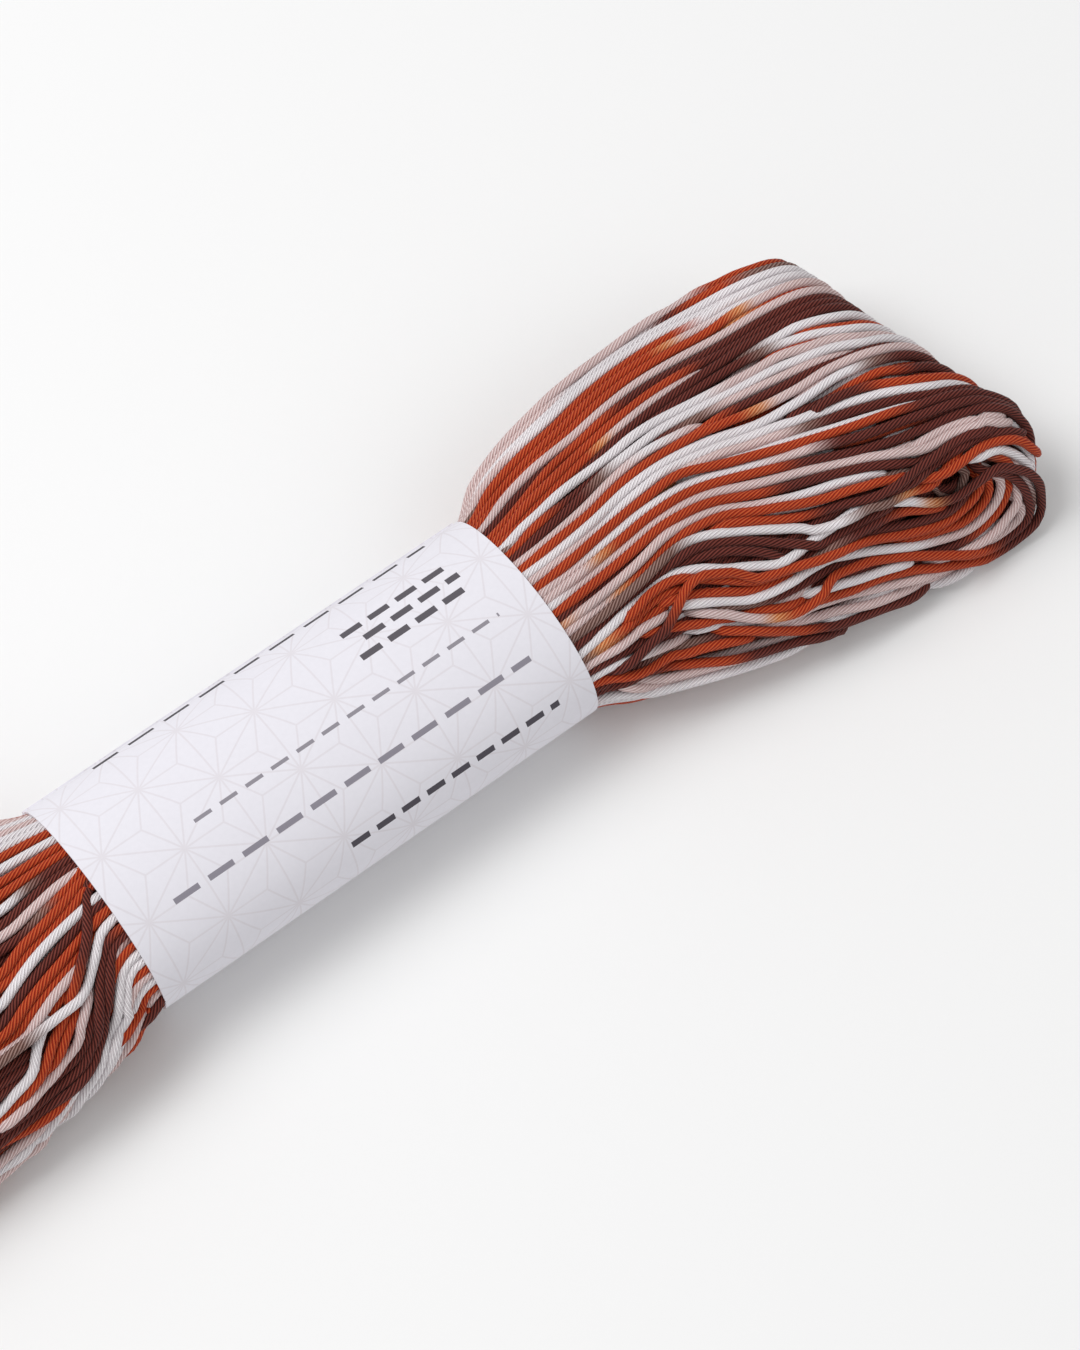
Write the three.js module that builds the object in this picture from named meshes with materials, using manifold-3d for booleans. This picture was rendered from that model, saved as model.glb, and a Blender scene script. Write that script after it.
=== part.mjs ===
// Skein of sashiko thread: a hank of dyed cotton thread, pressed flat and drawn in at its waist by a paper band.
// Millimetres. +X runs along the skein, +Y across it, +Z up from the surface that it lies on.
// The origin is at the middle of the underside of the whole skein.

import * as THREE from 'three';
import Module from 'manifold-3d';
import { mergeVertices } from 'three/addons/utils/BufferGeometryUtils.js';

const wasm = await Module();
wasm.setup();

// Paper band: an oval sleeve round the waist, with a small flat spot where it touches the surface.
const BAND_LENGTH = 52;
const BAND_HALF_WIDTH = 12;
const BAND_HALF_HEIGHT = 9;
const BAND_WALL = 1;
const BAND_FACETS = 72;
const FIT_GAP = 0.3;
const FLAT_SPOT_DEPTH = 0.3;

// The waist of the hank fills the band.
const WAIST_INSET = BAND_WALL + FIT_GAP;
const WAIST_HALF_WIDTH = BAND_HALF_WIDTH - WAIST_INSET;
const WAIST_HALF_HEIGHT = BAND_HALF_HEIGHT - WAIST_INSET;
const AXIS_HEIGHT = BAND_HALF_HEIGHT - FLAT_SPOT_DEPTH;

// A head is the looped end of the hank beyond the band. Its turns run out on top, fold over and come back below.
// across: place of a turn over the width, 0 at the +Y edge and 1 at the -Y edge. reach: from band to fold.
// topY, topZ and lowY, lowZ: where the turn lies above and below the fold. swell: how soon it leaves the waist.
const HEAD_COLUMNS = ['across', 'reach', 'topY', 'topZ', 'lowY', 'lowZ', 'swell'];
const HEADS = [
  {
    side: 1,
    rows: [
      [0.00, 44.5, 17.0, 12.6, 16.4, 3.4, 4.0],
      [0.15, 46.8, 13.6, 15.0, 11.2, 0.9, 3.6],
      [0.50, 49.8, 2.4, 16.8, -3.0, -0.6, 2.5],
      [0.80, 52.6, -7.4, 16.2, -14.5, 0.1, 2.0],
      [1.00, 53.2, -12.8, 14.2, -20.2, 2.6, 1.8],
    ],
  },
  {
    side: -1,
    rows: [
      [0.00, 49.4, 16.4, 12.0, 15.8, 3.4, 3.6],
      [0.15, 50.6, 13.2, 14.4, 11.4, 0.9, 3.2],
      [0.50, 51.4, 3.0, 16.2, -2.4, -0.6, 2.6],
      [0.80, 50.0, -6.6, 15.6, -12.0, 0.1, 2.2],
      [1.00, 47.6, -11.6, 13.4, -15.6, 2.6, 1.9],
    ],
  },
];
// Along a turn the straight run ends at RUN_END and the fold takes the rest.
const RUN_END = 0.84;
const FOLD_STRETCH = 1.15;
const SIDE_BULGE = 0.9;

// Bundles of turns stand up as rounded ridges that run along the skein and over its folds.
// Over the first part of a head, PRESSED_START of its length, the band still presses them together.
const BUNDLES_ACROSS = 14;
const LANES_PER_BUNDLE = 3;
const BUNDLE_RELIEF = 0.5;
const BUNDLE_PITCH = 2.2;
const PRESSED_START = 0.25;
const GROOVE_SHARPNESS = 3;
const SIDE_LANES = 10;
const RUN_STATIONS = 13;
const FOLD_STATIONS = 7;
const STATION_SPREAD = 1.2;

// The eye is the gap left inside the innermost turns of each fold, open from edge to edge.
const EYE_LENGTH = 9;
const EYE_HEIGHT = 2.8;
const EYE_CROSSING = 60;

const SAME_POINT = 1e-3;

const THREAD_LOOK = { color: 0xb4674a, roughness: 0.85, metalness: 0 };
const PAPER_LOOK = { color: 0xe6e3ec, roughness: 0.7, metalness: 0 };

function column(head, name, across) {
  // Smooth curve through one column of a head's table.
  const at = HEAD_COLUMNS.indexOf(name);
  const rows = head.rows;
  const slope = (i) => {
    const before = rows[Math.max(i - 1, 0)];
    const after = rows[Math.min(i + 1, rows.length - 1)];
    return (after[at] - before[at]) / (after[0] - before[0]);
  };
  let i = 0;
  while (i < rows.length - 2 && across > rows[i + 1][0]) i += 1;
  const span = rows[i + 1][0] - rows[i][0];
  const u = (across - rows[i][0]) / span;
  const v = 1 - u;
  return (
    v * v * (1 + 2 * u) * rows[i][at] +
    u * u * (1 + 2 * v) * rows[i + 1][at] +
    u * v * span * (v * slope(i) - u * slope(i + 1))
  );
}

function ovalAngle(across) {
  // Angle on the waist's oval, even in length from the +Y edge over the top to the -Y edge.
  const steps = 60;
  const lengths = [0];
  for (let i = 1; i <= steps; i += 1) {
    const middle = ((i - 0.5) / steps) * Math.PI;
    const pace = Math.hypot(WAIST_HALF_WIDTH * Math.sin(middle), WAIST_HALF_HEIGHT * Math.cos(middle));
    lengths.push(lengths[i - 1] + pace);
  }
  const wanted = across * lengths[steps];
  let i = 0;
  while (i < steps - 1 && lengths[i + 1] < wanted) i += 1;
  return ((i + (wanted - lengths[i]) / (lengths[i + 1] - lengths[i])) / steps) * Math.PI;
}

function foldShape(head, across) {
  // Thickness, middle and end of the fold of the turn at this place over the width.
  const get = (name) => column(head, name, across);
  const halfHeight = (get('topZ') - get('lowZ')) / 2;
  const depth = halfHeight * FOLD_STRETCH;
  return {
    halfHeight,
    depth,
    start: BAND_LENGTH / 2 + get('reach') - depth,
    middleY: (get('topY') + get('lowY')) / 2,
    middleZ: (get('topZ') + get('lowZ')) / 2,
    leanY: (get('topY') - get('lowY')) / 2,
    swell: get('swell'),
  };
}

function turnPoint(head, across, along, level) {
  // A point of one outer turn. along: 0 at the band, 1 at the tip of the fold. level: 1 on top, -1 below.
  const fold = foldShape(head, across);
  const angle = ovalAngle(across);
  const run = Math.min(along / RUN_END, 1);
  const bend = (Math.max(along - RUN_END, 0) / (1 - RUN_END)) * (Math.PI / 2);
  const grown = 1 - (1 - run) ** fold.swell;
  const rise = level * Math.cos(bend);
  const waistY = WAIST_HALF_WIDTH * Math.cos(angle);
  const waistZ = AXIS_HEIGHT + level * WAIST_HALF_HEIGHT * Math.sin(angle);
  const x = BAND_LENGTH / 2 + run * (fold.start - BAND_LENGTH / 2) + fold.depth * Math.sin(bend);
  const y = waistY + grown * (fold.middleY + rise * fold.leanY - waistY);
  const z = waistZ + grown * (fold.middleZ + rise * fold.halfHeight - waistZ);
  return new THREE.Vector3(head.side * x, y, z);
}

function corePoint(head, across, along) {
  // The line that a turn goes round: along the middle of the hank, as far as the middle of its fold.
  const top = turnPoint(head, across, Math.min(along, RUN_END), 1);
  const low = turnPoint(head, across, Math.min(along, RUN_END), -1);
  return top.add(low).multiplyScalar(0.5);
}

function ridge(phase) {
  // Rounded crests with narrow grooves between them, from -1 in a groove to about 0 on a crest.
  return -(Math.abs(Math.cos(Math.PI * phase)) ** GROOVE_SHARPNESS);
}

function raised(point, core, amount) {
  const outward = point.clone().sub(core);
  if (outward.length() < SAME_POINT) return point;
  return point.clone().addScaledVector(outward.normalize(), amount);
}

function faceLane(head, across, along, level) {
  // Top or underside: the bundles lie side by side over the width, and fade out where the band presses them.
  const relief = BUNDLE_RELIEF * Math.min(1, along / PRESSED_START) * ridge(across * BUNDLES_ACROSS);
  return raised(turnPoint(head, across, along, level), corePoint(head, across, along), relief);
}

function sideLane(head, across, along, drop) {
  // Edge of the hank, where the folded turns lie round each other. drop: 0 at the top turn, 1 at the bottom one.
  const top = turnPoint(head, across, along, 1);
  const low = turnPoint(head, across, along, -1);
  const fold = foldShape(head, across);
  const point = top.clone().lerp(low, drop);
  const core = corePoint(head, across, along);
  const height = top.distanceTo(low);
  const beyond = Math.max(0, Math.abs(point.x) - Math.abs(core.x)) / FOLD_STRETCH;
  const inward = fold.halfHeight - Math.hypot(beyond, (drop - 0.5) * height);
  const swell = Math.min(1, height / fold.halfHeight);
  const relief = BUNDLE_RELIEF * swell * (ridge(inward / BUNDLE_PITCH) + 1);
  const outward = across === 0 ? 1 : -1;
  point.y += outward * (SIDE_BULGE * swell + relief) * Math.sin(Math.PI * drop);
  return point;
}

function headRing(head, along) {
  // One closed section of a head: over the top, down the -Y edge, back below, and up the +Y edge.
  const lanes = BUNDLES_ACROSS * LANES_PER_BUNDLE;
  const ring = [];
  for (let i = 0; i <= lanes; i += 1) ring.push(faceLane(head, i / lanes, along, 1));
  for (let i = 1; i < SIDE_LANES; i += 1) ring.push(sideLane(head, 1, along, i / SIDE_LANES));
  for (let i = lanes; i >= 0; i -= 1) ring.push(faceLane(head, i / lanes, along, -1));
  for (let i = SIDE_LANES - 1; i > 0; i -= 1) ring.push(sideLane(head, 0, along, i / SIDE_LANES));
  return ring.map((point) => point.setZ(Math.max(point.z, 0)));
}

function headRings(head) {
  const rings = [];
  for (let i = 0; i <= RUN_STATIONS; i += 1) {
    rings.push(headRing(head, (i / RUN_STATIONS) ** STATION_SPREAD * RUN_END));
  }
  for (let i = 1; i <= FOLD_STATIONS; i += 1) {
    rings.push(headRing(head, RUN_END + (i / FOLD_STATIONS) * (1 - RUN_END)));
  }
  return rings;
}

function closedMesh(positions, indices) {
  // Geometry with each shared corner once, and without the triangles that shrink to a line.
  const loose = new THREE.BufferGeometry();
  loose.setAttribute('position', new THREE.Float32BufferAttribute(positions, 3));
  loose.setIndex(indices);
  const merged = mergeVertices(loose, SAME_POINT);
  const kept = [];
  const index = merged.index.array;
  for (let i = 0; i < index.length; i += 3) {
    const [a, b, c] = index.slice(i, i + 3);
    if (a !== b && b !== c && c !== a) kept.push(a, b, c);
  }
  merged.setIndex(kept);
  return merged;
}

function loft(rings) {
  const count = rings[0].length;
  const positions = rings.flat().flatMap((point) => [point.x, point.y, point.z]);
  const indices = [];
  for (let i = 0; i < rings.length - 1; i += 1) {
    for (let j = 0; j < count; j += 1) {
      const a = i * count + j;
      const b = i * count + ((j + 1) % count);
      indices.push(a, b, a + count, b, b + count, a + count);
    }
  }
  return closedMesh(positions, indices);
}

function toSolid(geometry) {
  return new wasm.Manifold(
    new wasm.Mesh({
      numProp: 3,
      vertProperties: new Float32Array(geometry.attributes.position.array),
      triVerts: new Uint32Array(geometry.index.array),
    }),
  );
}

function fromSolid(solid) {
  const { vertProperties, triVerts } = solid.getMesh();
  const geometry = new THREE.BufferGeometry();
  geometry.setAttribute('position', new THREE.BufferAttribute(vertProperties, 3));
  geometry.setIndex(new THREE.BufferAttribute(triVerts, 1));
  return geometry;
}

function eyeTool(head) {
  // A drop-shaped bar through the fold: round towards the fold, and drawn to a point towards the band.
  const radius = EYE_HEIGHT / 2;
  const drop = new THREE.Shape();
  drop.moveTo(-(EYE_LENGTH - radius), 0);
  drop.quadraticCurveTo(-radius, -radius, 0, -radius);
  drop.absarc(0, 0, radius, -Math.PI / 2, Math.PI / 2, false);
  drop.quadraticCurveTo(-radius, radius, -(EYE_LENGTH - radius), 0);
  const bar = new THREE.ExtrudeGeometry(drop, { depth: EYE_CROSSING, bevelEnabled: false, curveSegments: 8 });
  bar.translate(0, 0, -EYE_CROSSING / 2);
  const ends = [0, 1].map((across) => corePoint(head, across, RUN_END));
  const middle = ends[0].clone().add(ends[1]).multiplyScalar(0.5);
  const through = ends[1].clone().sub(ends[0]).normalize();
  const outward = new THREE.Vector3(head.side, 0, 0);
  const up = new THREE.Vector3().crossVectors(through, outward).normalize();
  const along = new THREE.Vector3().crossVectors(up, through);
  bar.applyMatrix4(new THREE.Matrix4().makeBasis(along, up, through).setPosition(middle));
  bar.deleteAttribute('normal');
  bar.deleteAttribute('uv');
  return toSolid(mergeVertices(bar, SAME_POINT));
}

function hankGeometry() {
  const [right, left] = HEADS.map(headRings);
  let hank = toSolid(loft([...left.reverse(), ...right]));
  for (const head of HEADS) hank = hank.subtract(eyeTool(head));
  return fromSolid(hank);
}

function bandOutline(Path, inset) {
  // Oval round the axis of the band, flat where it touches the surface below.
  const outline = new Path();
  for (let i = 0; i <= BAND_FACETS; i += 1) {
    const angle = (i / BAND_FACETS) * 2 * Math.PI;
    const y = (BAND_HALF_WIDTH - inset) * Math.cos(angle);
    const z = AXIS_HEIGHT + (BAND_HALF_HEIGHT - inset) * Math.sin(angle);
    if (i === 0) outline.moveTo(y, Math.max(z, inset));
    else outline.lineTo(y, Math.max(z, inset));
  }
  return outline;
}

function bandGeometry() {
  const section = bandOutline(THREE.Shape, 0);
  section.holes.push(bandOutline(THREE.Path, BAND_WALL));
  const sleeve = new THREE.ExtrudeGeometry(section, { depth: BAND_LENGTH, bevelEnabled: false });
  sleeve.translate(0, 0, -BAND_LENGTH / 2);
  const yAxis = new THREE.Vector3(0, 1, 0);
  const zAxis = new THREE.Vector3(0, 0, 1);
  const xAxis = new THREE.Vector3(1, 0, 0);
  sleeve.applyMatrix4(new THREE.Matrix4().makeBasis(yAxis, zAxis, xAxis));
  return sleeve;
}

function piece(name, geometry, look) {
  const mesh = new THREE.Mesh(geometry, new THREE.MeshStandardMaterial(look));
  mesh.name = name;
  return mesh;
}

const skein = new THREE.Group();
skein.add(piece('thread_hank', hankGeometry(), THREAD_LOOK));
skein.add(piece('paper_band', bandGeometry(), PAPER_LOOK));

// The two heads differ, so the band stands a little off the middle of the whole.
const whole = new THREE.Box3().setFromObject(skein);
const centre = whole.getCenter(new THREE.Vector3());
skein.position.set(-centre.x, -centre.y, 0);

export default skein;
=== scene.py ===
# %% [markdown]
# A skein of sashiko thread, dressed for its portrait.
# The real thing is one cotton thread, a little over 1 mm thick, space-dyed in rust, dark brown,
# white and pale pink, and wound into long turns. The turns are folded to a flat bundle and a paper
# band holds them at the waist. Two parts show: the turns of thread and the band.
# The script first loads the fixed frame, which gives the place of both, and keeps its box.

# %% Frame and units
import math

import bmesh
import bpy
import numpy as np
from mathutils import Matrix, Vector


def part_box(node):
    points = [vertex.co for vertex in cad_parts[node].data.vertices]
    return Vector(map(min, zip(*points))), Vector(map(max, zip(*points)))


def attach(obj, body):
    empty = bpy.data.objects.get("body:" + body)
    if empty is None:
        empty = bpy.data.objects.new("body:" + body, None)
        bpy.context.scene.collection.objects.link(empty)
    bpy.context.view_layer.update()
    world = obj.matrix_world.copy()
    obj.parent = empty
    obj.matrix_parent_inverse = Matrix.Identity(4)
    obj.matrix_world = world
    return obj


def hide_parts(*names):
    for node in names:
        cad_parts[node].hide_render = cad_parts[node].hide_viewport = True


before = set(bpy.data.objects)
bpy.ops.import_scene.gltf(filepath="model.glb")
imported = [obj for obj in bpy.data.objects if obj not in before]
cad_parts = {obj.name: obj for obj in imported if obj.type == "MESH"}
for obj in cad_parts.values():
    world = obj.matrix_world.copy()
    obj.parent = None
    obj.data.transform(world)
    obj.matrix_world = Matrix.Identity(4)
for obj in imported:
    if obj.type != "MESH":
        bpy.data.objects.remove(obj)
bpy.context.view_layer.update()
MM = 0.001
BAND_LOW, BAND_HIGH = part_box("paper_band")
BAND_MIDDLE = (BAND_LOW + BAND_HIGH) / 2
# The tables below give places in mm from the band's middle, on the surface that the skein lies on.
OFFSET = np.array([BAND_MIDDLE.x, BAND_MIDDLE.y, 0.0]) / MM
print("band middle in mm:", OFFSET.round(3))


# %% [markdown]
# The camera comes first, because it fixes what has to look right. A product picture is taken from
# far off with a long lens, so that near and far turns of thread look equally thick. The viewing
# direction is given as an azimuth and an elevation, and the distance from the size of a pixel at
# the object: 0.098 mm. The band is off the middle of the picture, so the camera slides sideways.

# %% Camera
PICTURE = (1080, 1350)
PIXEL_SIZE = 0.098
LENS, SENSOR = 110.0, 36.0
AZIMUTH, ELEVATION = math.radians(-37.2), math.radians(65.0)
BAND_PIXEL = (313, 761)
AXIS_HEIGHT = 8.7


def new_object(name, data):
    """An object in the scene that shows some data, such as a mesh, a lamp or a camera."""
    made = bpy.data.objects.new(name, data)
    bpy.context.scene.collection.objects.link(made)
    return made


def make_camera():
    """A long lens that looks down on the skein, with the band's middle at BAND_PIXEL."""
    back = Vector((
        math.sin(AZIMUTH) * math.cos(ELEVATION),
        -math.cos(AZIMUTH) * math.cos(ELEVATION),
        math.sin(ELEVATION),
    ))
    right = Vector((math.cos(AZIMUTH), math.sin(AZIMUTH), 0))
    up = back.cross(right)
    distance = LENS / SENSOR * PICTURE[1] * PIXEL_SIZE
    slide_right = (PICTURE[0] / 2 - BAND_PIXEL[0]) * PIXEL_SIZE
    slide_up = (BAND_PIXEL[1] - PICTURE[1] / 2) * PIXEL_SIZE
    target = Vector(OFFSET) + Vector((0, 0, AXIS_HEIGHT))
    place = target + back * distance + right * slide_right + up * slide_up
    data = bpy.data.cameras.new("camera")
    data.lens = LENS
    data.sensor_width = SENSOR
    camera = new_object("camera", data)
    camera.location = place * MM
    camera.rotation_mode = "QUATERNION"
    camera.rotation_quaternion = back.to_track_quat("Z", "Y")
    bpy.context.scene.camera = camera
    print("camera distance in mm:", round(distance, 1))


make_camera()


# %% [markdown]
# The form of the bundle. Beyond the band each end of the bundle, here called a head, swells and
# then folds over: every turn of thread runs out on top, round the end, and back underneath.
# A short table gives the head's section at five places across. Smooth curves join the rows, and
# the function turn() gives any point of a turn: across says which turn, along how far out it is,
# level +1 is the top run and -1 the lower one, and depth is how far below the surface it lies.
# The same numbers shape the solid in the frame, so the threads end up where that solid is.
# RUN_END is the share of a turn that comes before its fold, FOLD_STRETCH makes the fold a little
# longer than it is half high, and SIDE_BULGE is how far the open side swells, in mm.

# %% Form of a head
BAND_LENGTH = 52.0
HEAD_LENGTH = 54.0
WAIST_HALF = (11.7, 8.7)
RUN_END = 0.84
FOLD_STRETCH = 1.15
SIDE_BULGE = 0.9
COLUMNS = ("across", "reach", "top_y", "top_z", "low_y", "low_z", "swell")
RIGHT_HEAD = (
    (0.00, 44.5, 17.0, 12.6, 16.4, 3.4, 4.0),
    (0.15, 46.8, 13.6, 15.0, 11.2, 0.9, 3.6),
    (0.50, 49.8, 2.4, 16.8, -3.0, -0.6, 1.2),
    (0.80, 52.6, -7.4, 16.2, -14.5, 0.1, 2.0),
    (1.00, 53.2, -12.8, 14.2, -20.2, 2.6, 1.8),
)
LEFT_HEAD = (
    (0.00, 49.4, 16.4, 12.0, 15.8, 3.4, 3.6),
    (0.15, 50.6, 13.2, 14.4, 11.4, 0.9, 3.2),
    (0.50, 51.4, 3.0, 16.2, -2.4, -0.6, 2.6),
    (0.80, 50.0, -6.6, 15.6, -12.0, 0.1, 2.2),
    (1.00, 47.6, -11.6, 13.4, -15.6, 2.6, 1.9),
)
HEADS = {"right": (RIGHT_HEAD, 1), "left": (LEFT_HEAD, -1)}


def smooth(x, y, at):
    """A smooth curve through the points x, y, read at other places. y may have several columns."""
    x, y, at = np.asarray(x, float), np.asarray(y, float), np.asarray(at, float)
    before = np.maximum(np.arange(len(x)) - 1, 0)
    after = np.minimum(np.arange(len(x)) + 1, len(x) - 1)
    column_shape = (-1,) + (1,) * (y.ndim - 1)
    slope = (y[after] - y[before]) / (x[after] - x[before]).reshape(column_shape)
    i = np.clip(np.searchsorted(x, at) - 1, 0, len(x) - 2)
    value_shape = at.shape + (1,) * (y.ndim - 1)
    gap = (x[i + 1] - x[i]).reshape(value_shape)
    u = ((at - x[i]) / (x[i + 1] - x[i])).reshape(value_shape)
    v = 1 - u
    ends = v * v * (1 + 2 * u) * y[i] + u * u * (1 + 2 * v) * y[i + 1]
    return ends + u * v * gap * (v * slope[i] - u * slope[i + 1])


def column(form, name, across):
    """One column of a head's table at any place across."""
    rows = np.array(form)
    return smooth(rows[:, 0], rows[:, COLUMNS.index(name)], np.clip(across, 0, 1))


def waist_angle(across):
    """The angle on the waist's upper half oval, even in length from its +Y side to its -Y side."""
    angle = np.linspace(0, np.pi, 401)
    step = np.hypot(np.diff(WAIST_HALF[0] * np.cos(angle)), np.diff(WAIST_HALF[1] * np.sin(angle)))
    length = np.concatenate([[0], np.cumsum(step)])
    return np.interp(across, length / length[-1], angle)


def turn(head, across, along, level, depth=0.0):
    """Points of a turn in mm. along is 0 at the band's mouth and 1 at the far end of the fold."""
    form, side = HEADS[head]
    across, along, level, depth = np.broadcast_arrays(across, along, level, depth)
    top_y, top_z = column(form, "top_y", across), column(form, "top_z", across)
    low_y, low_z = column(form, "low_y", across), column(form, "low_z", across)
    half_high = (top_z - low_z) / 2
    fold = half_high * FOLD_STRETCH
    start = BAND_LENGTH / 2 + column(form, "reach", across) - fold
    angle = waist_angle(across)
    run = np.minimum(along / RUN_END, 1)
    bend = np.maximum(along - RUN_END, 0) / (1 - RUN_END) * np.pi / 2
    swell = 1 - (1 - np.clip(run, 0, 1)) ** column(form, "swell", across)
    rise = level * np.cos(bend) * (1 - depth / half_high)
    waist_y = (WAIST_HALF[0] - depth) * np.cos(angle)
    waist_z = AXIS_HEIGHT + level * (WAIST_HALF[1] - depth) * np.sin(angle)
    head_y = (top_y + low_y) / 2 + rise * (top_y - low_y) / 2
    head_z = (top_z + low_z) / 2 + rise * half_high
    x = BAND_LENGTH / 2 + run * (start - BAND_LENGTH / 2) + (fold - depth) * np.sin(bend)
    y = waist_y + swell * (head_y - waist_y)
    z = waist_z + swell * (head_z - waist_z)
    return np.stack([side * x, y, z], -1)


def around(head, across, travel, depth=0.0):
    """A whole turn: travel 0 to 1 is the top run and its half of the fold, and 1 to 2 the rest."""
    level = np.where(np.asarray(travel) <= 1, 1.0, -1.0)
    return turn(head, across, np.where(level > 0, travel, 2 - np.asarray(travel)), level, depth)


def side_face(head, x, down, depth=0.0):
    """Points on the open side of a head, at its -Y edge. x is in mm from the band's mouth, and
    down runs from 0 at the top edge to 1 at the low edge. Above the top edge it goes on over the top."""
    side = HEADS[head][1]
    x, down, depth = np.broadcast_arrays(np.asarray(x, float), np.asarray(down, float), depth)
    along = np.linspace(0, RUN_END, 60)
    top, low = turn(head, 1.0, along, 1.0), turn(head, 1.0, along, -1.0)
    reach_x = np.abs(top[:, 0]) - BAND_LENGTH / 2
    top_y, top_z = np.interp(x, reach_x, top[:, 1]), np.interp(x, reach_x, top[:, 2])
    low_y, low_z = np.interp(x, reach_x, low[:, 1]), np.interp(x, reach_x, low[:, 2])
    v = np.maximum(down, 0)
    sag = SIDE_BULGE * np.sin(np.pi * np.clip(v, 0, 1))
    length = np.hypot(top_y - low_y, top_z - low_z)
    out_y, out_z = -(top_z - low_z) / length, (top_y - low_y) / length
    y = top_y * (1 - v) + low_y * v - sag * 0.8 - depth * out_y
    z = top_z * (1 - v) + low_z * v + sag * 0.5 - depth * out_z
    face = np.stack([side * (x + BAND_LENGTH / 2), y, z], -1)
    v = np.minimum(down, 0)
    over = turn(head, 1 + 0.35 * v, x / HEAD_LENGTH + 0.05 * v, 1.0, depth)
    share = np.clip(-down / 0.12, 0, 1)[..., None]
    return face * (1 - share) + over * share


print("right head reaches", turn("right", 1.0, 1.0, 1.0)[0].round(1), "mm from the middle")


# %% [markdown]
# The dyes. A space-dyed thread takes its colours in one bath after another, so each colour lasts a
# few centimetres and runs into the next over two or three millimetres. Rust bleeds into white
# through peach, and brown through taupe. Each colour has a letter, and a short word list says how a
# thread's colour goes: "O6.8 W" is rust up to station 6.8 and white after it. A colour is a point
# attribute on the thread's route, which the material reads, so it follows every bend.

# %% Dyes
DYES = {
    "W": "F0EBED",
    "P": "E2CDCB",
    "E": "DE9E6E",
    "O": "C2552B",
    "B": "75382E",
    "T": "967870",
}
BLEED = 1.6
ENDLESS = 1e4


def linear(colour):
    """A colour written as sRGB hex, as the linear numbers that shaders use."""
    parts = [int(colour[i:i + 2], 16) / 255 for i in (0, 2, 4)]
    return [c / 12.92 if c <= 0.04045 else ((c + 0.055) / 1.055) ** 2.4 for c in parts]


DYE_COLOURS = {letter: np.array(linear(colour)) for letter, colour in DYES.items()}
DYE_ROUND = ("W", "P", "E", "O", "B", "T")
DYE_SPAN = {"W": (22, 44), "P": (16, 34), "E": (2, 3), "O": (26, 46), "B": (22, 40), "T": (2, 5)}


def read_dyes(words):
    """"O6.8 W" as a list of letters and the stations where each one ends."""
    return [(w[0], float(w[1:]) if len(w) > 1 else math.inf) for w in words.split()]


def wound_dyes(rng, length, first=None, lead=0.0):
    """Dye lengths for a thread whose colours aren't read off: the dyer's round, from a random place
    or from the dye named first, which then lasts lead mm longer."""
    way = rng.choice((-1, 1))
    place = DYE_ROUND.index(first) if first else rng.integers(len(DYE_ROUND))
    marks, at = [], lead - rng.uniform(0, 20)
    while at < length:
        letter = DYE_ROUND[place % len(DYE_ROUND)]
        at += rng.uniform(*DYE_SPAN[letter])
        marks.append((letter, at))
        place += way
    return marks


def dye_colours(marks, distance):
    """Colours at the given distances along a thread, where marks say at which mm each dye ends."""
    keys, colours = [], []
    start = -1e3
    for letter, end in marks:
        end = min(end, ENDLESS)
        bleed = min(BLEED, max(end - start, 0.1) / 2.5)
        keys += [start + bleed, end - bleed]
        colours += [DYE_COLOURS[letter]] * 2
        start = end
    keys = np.maximum.accumulate(np.array(keys) + np.arange(len(keys)) * 1e-6)
    return np.stack([np.interp(distance, keys, np.array(colours)[:, k]) for k in range(3)], -1)


print("dyes:", ", ".join(DYES), "and each runs", BLEED, "mm into the next")
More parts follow.
